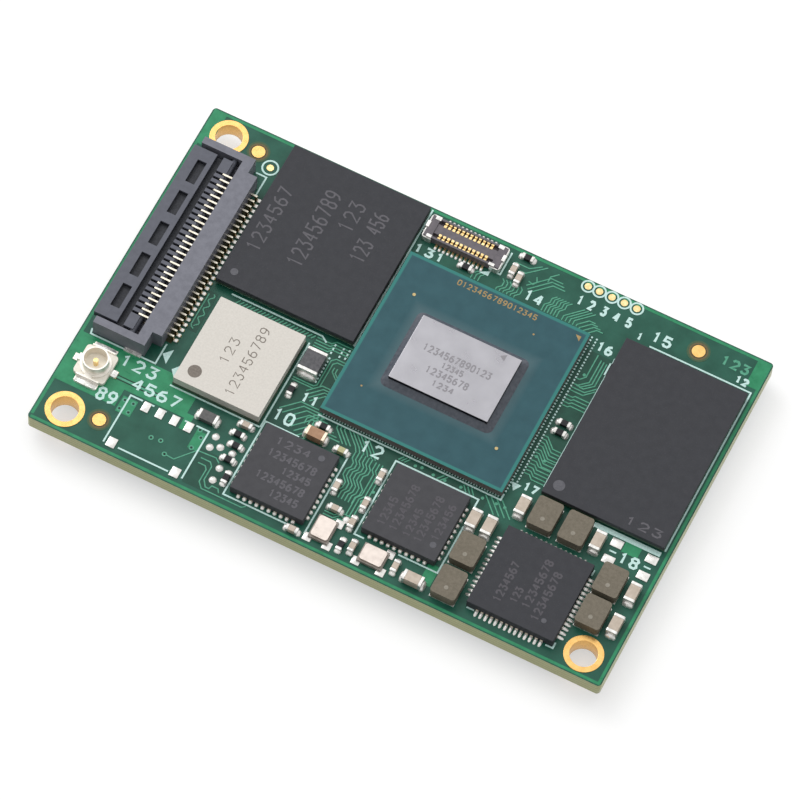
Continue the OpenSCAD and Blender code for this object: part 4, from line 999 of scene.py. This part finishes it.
# Studio: a wide pale floor, a white surround that is brightest above and behind, and one soft lamp at the
# back left. The camera looks down from the front right, as a product photograph does.
SURROUND = (0.1, 1.2)
SURROUND_FROM = (-0.2, 0.4, 0.9)
KEY_POWER = 1.6
KEY_SIZE = 0.4
KEY_PLACE = (-0.42, 0.24, 0.48)
FLOOR_HALF = 2.0
FLOOR_DROP = 0.02
FLOOR_GLOW = 0.55
CAMERA_PLACE = (76.426, -194.578, 395.504)
CAMERA_AIM = (0.19, -0.82, 2.5)
CAMERA_ROLL = 5.84
CAMERA_LENS = 270.4
CAMERA_SENSOR = 36.0


def seen_directly(tree):
    """1 for rays from the camera, from mirrors or through glass, and 0 for rays that carry light."""
    path = tree.nodes.new("ShaderNodeLightPath")
    shown = worked(tree, "MAXIMUM", path.outputs["Is Camera Ray"], path.outputs["Is Glossy Ray"])
    return worked(tree, "MAXIMUM", shown, path.outputs["Is Transmission Ray"])


def facing(place, aim):
    """Turn that points a lamp or camera from its place at its aim."""
    return (Vector(aim) - Vector(place)).to_track_quat("-Z", "Y")


world = bpy.data.worlds.new("surround")
bpy.context.scene.world = world
world.use_nodes = True
backdrop = world.node_tree.nodes["Background"]
backdrop.inputs["Color"].default_value = (1, 1, 1, 1)
sky = world.node_tree
toward = axes_of(sky, "Generated")
lean = worked(sky, "ADD", worked(sky, "MULTIPLY", toward["X"], SURROUND_FROM[0]),
              worked(sky, "MULTIPLY", toward["Y"], SURROUND_FROM[1]))
lean = worked(sky, "ADD", lean, worked(sky, "MULTIPLY", toward["Z"], SURROUND_FROM[2]))
light = ranged(sky, lean, 0.1, 0.9, *SURROUND)
sky.links.new(worked(sky, "MAXIMUM", light, seen_directly(sky)), backdrop.inputs["Strength"])

lamp = bpy.data.lights.new("key", "AREA")
lamp.energy = KEY_POWER
lamp.size = KEY_SIZE
key = bpy.data.objects.new("key", lamp)
key.location = KEY_PLACE
key.rotation_mode = "QUATERNION"
key.rotation_quaternion = facing(KEY_PLACE, (0, 0, 0))
bpy.context.scene.collection.objects.link(key)

ground = bmesh.new()
bmesh.ops.create_grid(ground, x_segments=1, y_segments=1, size=FLOOR_HALF,
                      matrix=Matrix.Translation((0, 0, -FLOOR_DROP * MM)))
floor_mesh = bpy.data.meshes.new("floor")
ground.to_mesh(floor_mesh)
ground.free()
floor = bpy.data.objects.new("floor", floor_mesh)
bpy.context.scene.collection.objects.link(floor)
paper, paper_tree, paper_shader = new_finish("floor_paper")
paper_shader.inputs["Base Color"].default_value = (0.5, 0.5, 0.5, 1)
paper_shader.inputs["Roughness"].default_value = 0.9
paper_shader.inputs["Specular IOR Level"].default_value = 0.0
paper_shader.inputs["Emission Color"].default_value = (1, 1, 1, 1)
paper_tree.links.new(ranged(paper_tree, seen_directly(paper_tree), 0.0, 1.0, 0.0, FLOOR_GLOW),
                     paper_shader.inputs["Emission Strength"])
floor_mesh.materials.append(paper)

lens = bpy.data.cameras.new("camera")
lens.lens = CAMERA_LENS
lens.sensor_width = CAMERA_SENSOR
lens.clip_start = 0.01
camera = bpy.data.objects.new("camera", lens)
camera.location = Vector(CAMERA_PLACE) * MM
camera.rotation_mode = "QUATERNION"
camera.rotation_quaternion = (facing(CAMERA_PLACE, CAMERA_AIM)
                              @ Quaternion((0, 0, 1), math.radians(CAMERA_ROLL)))
bpy.context.scene.collection.objects.link(camera)
bpy.context.scene.camera = camera
bpy.context.scene.view_settings.view_transform = "Standard"
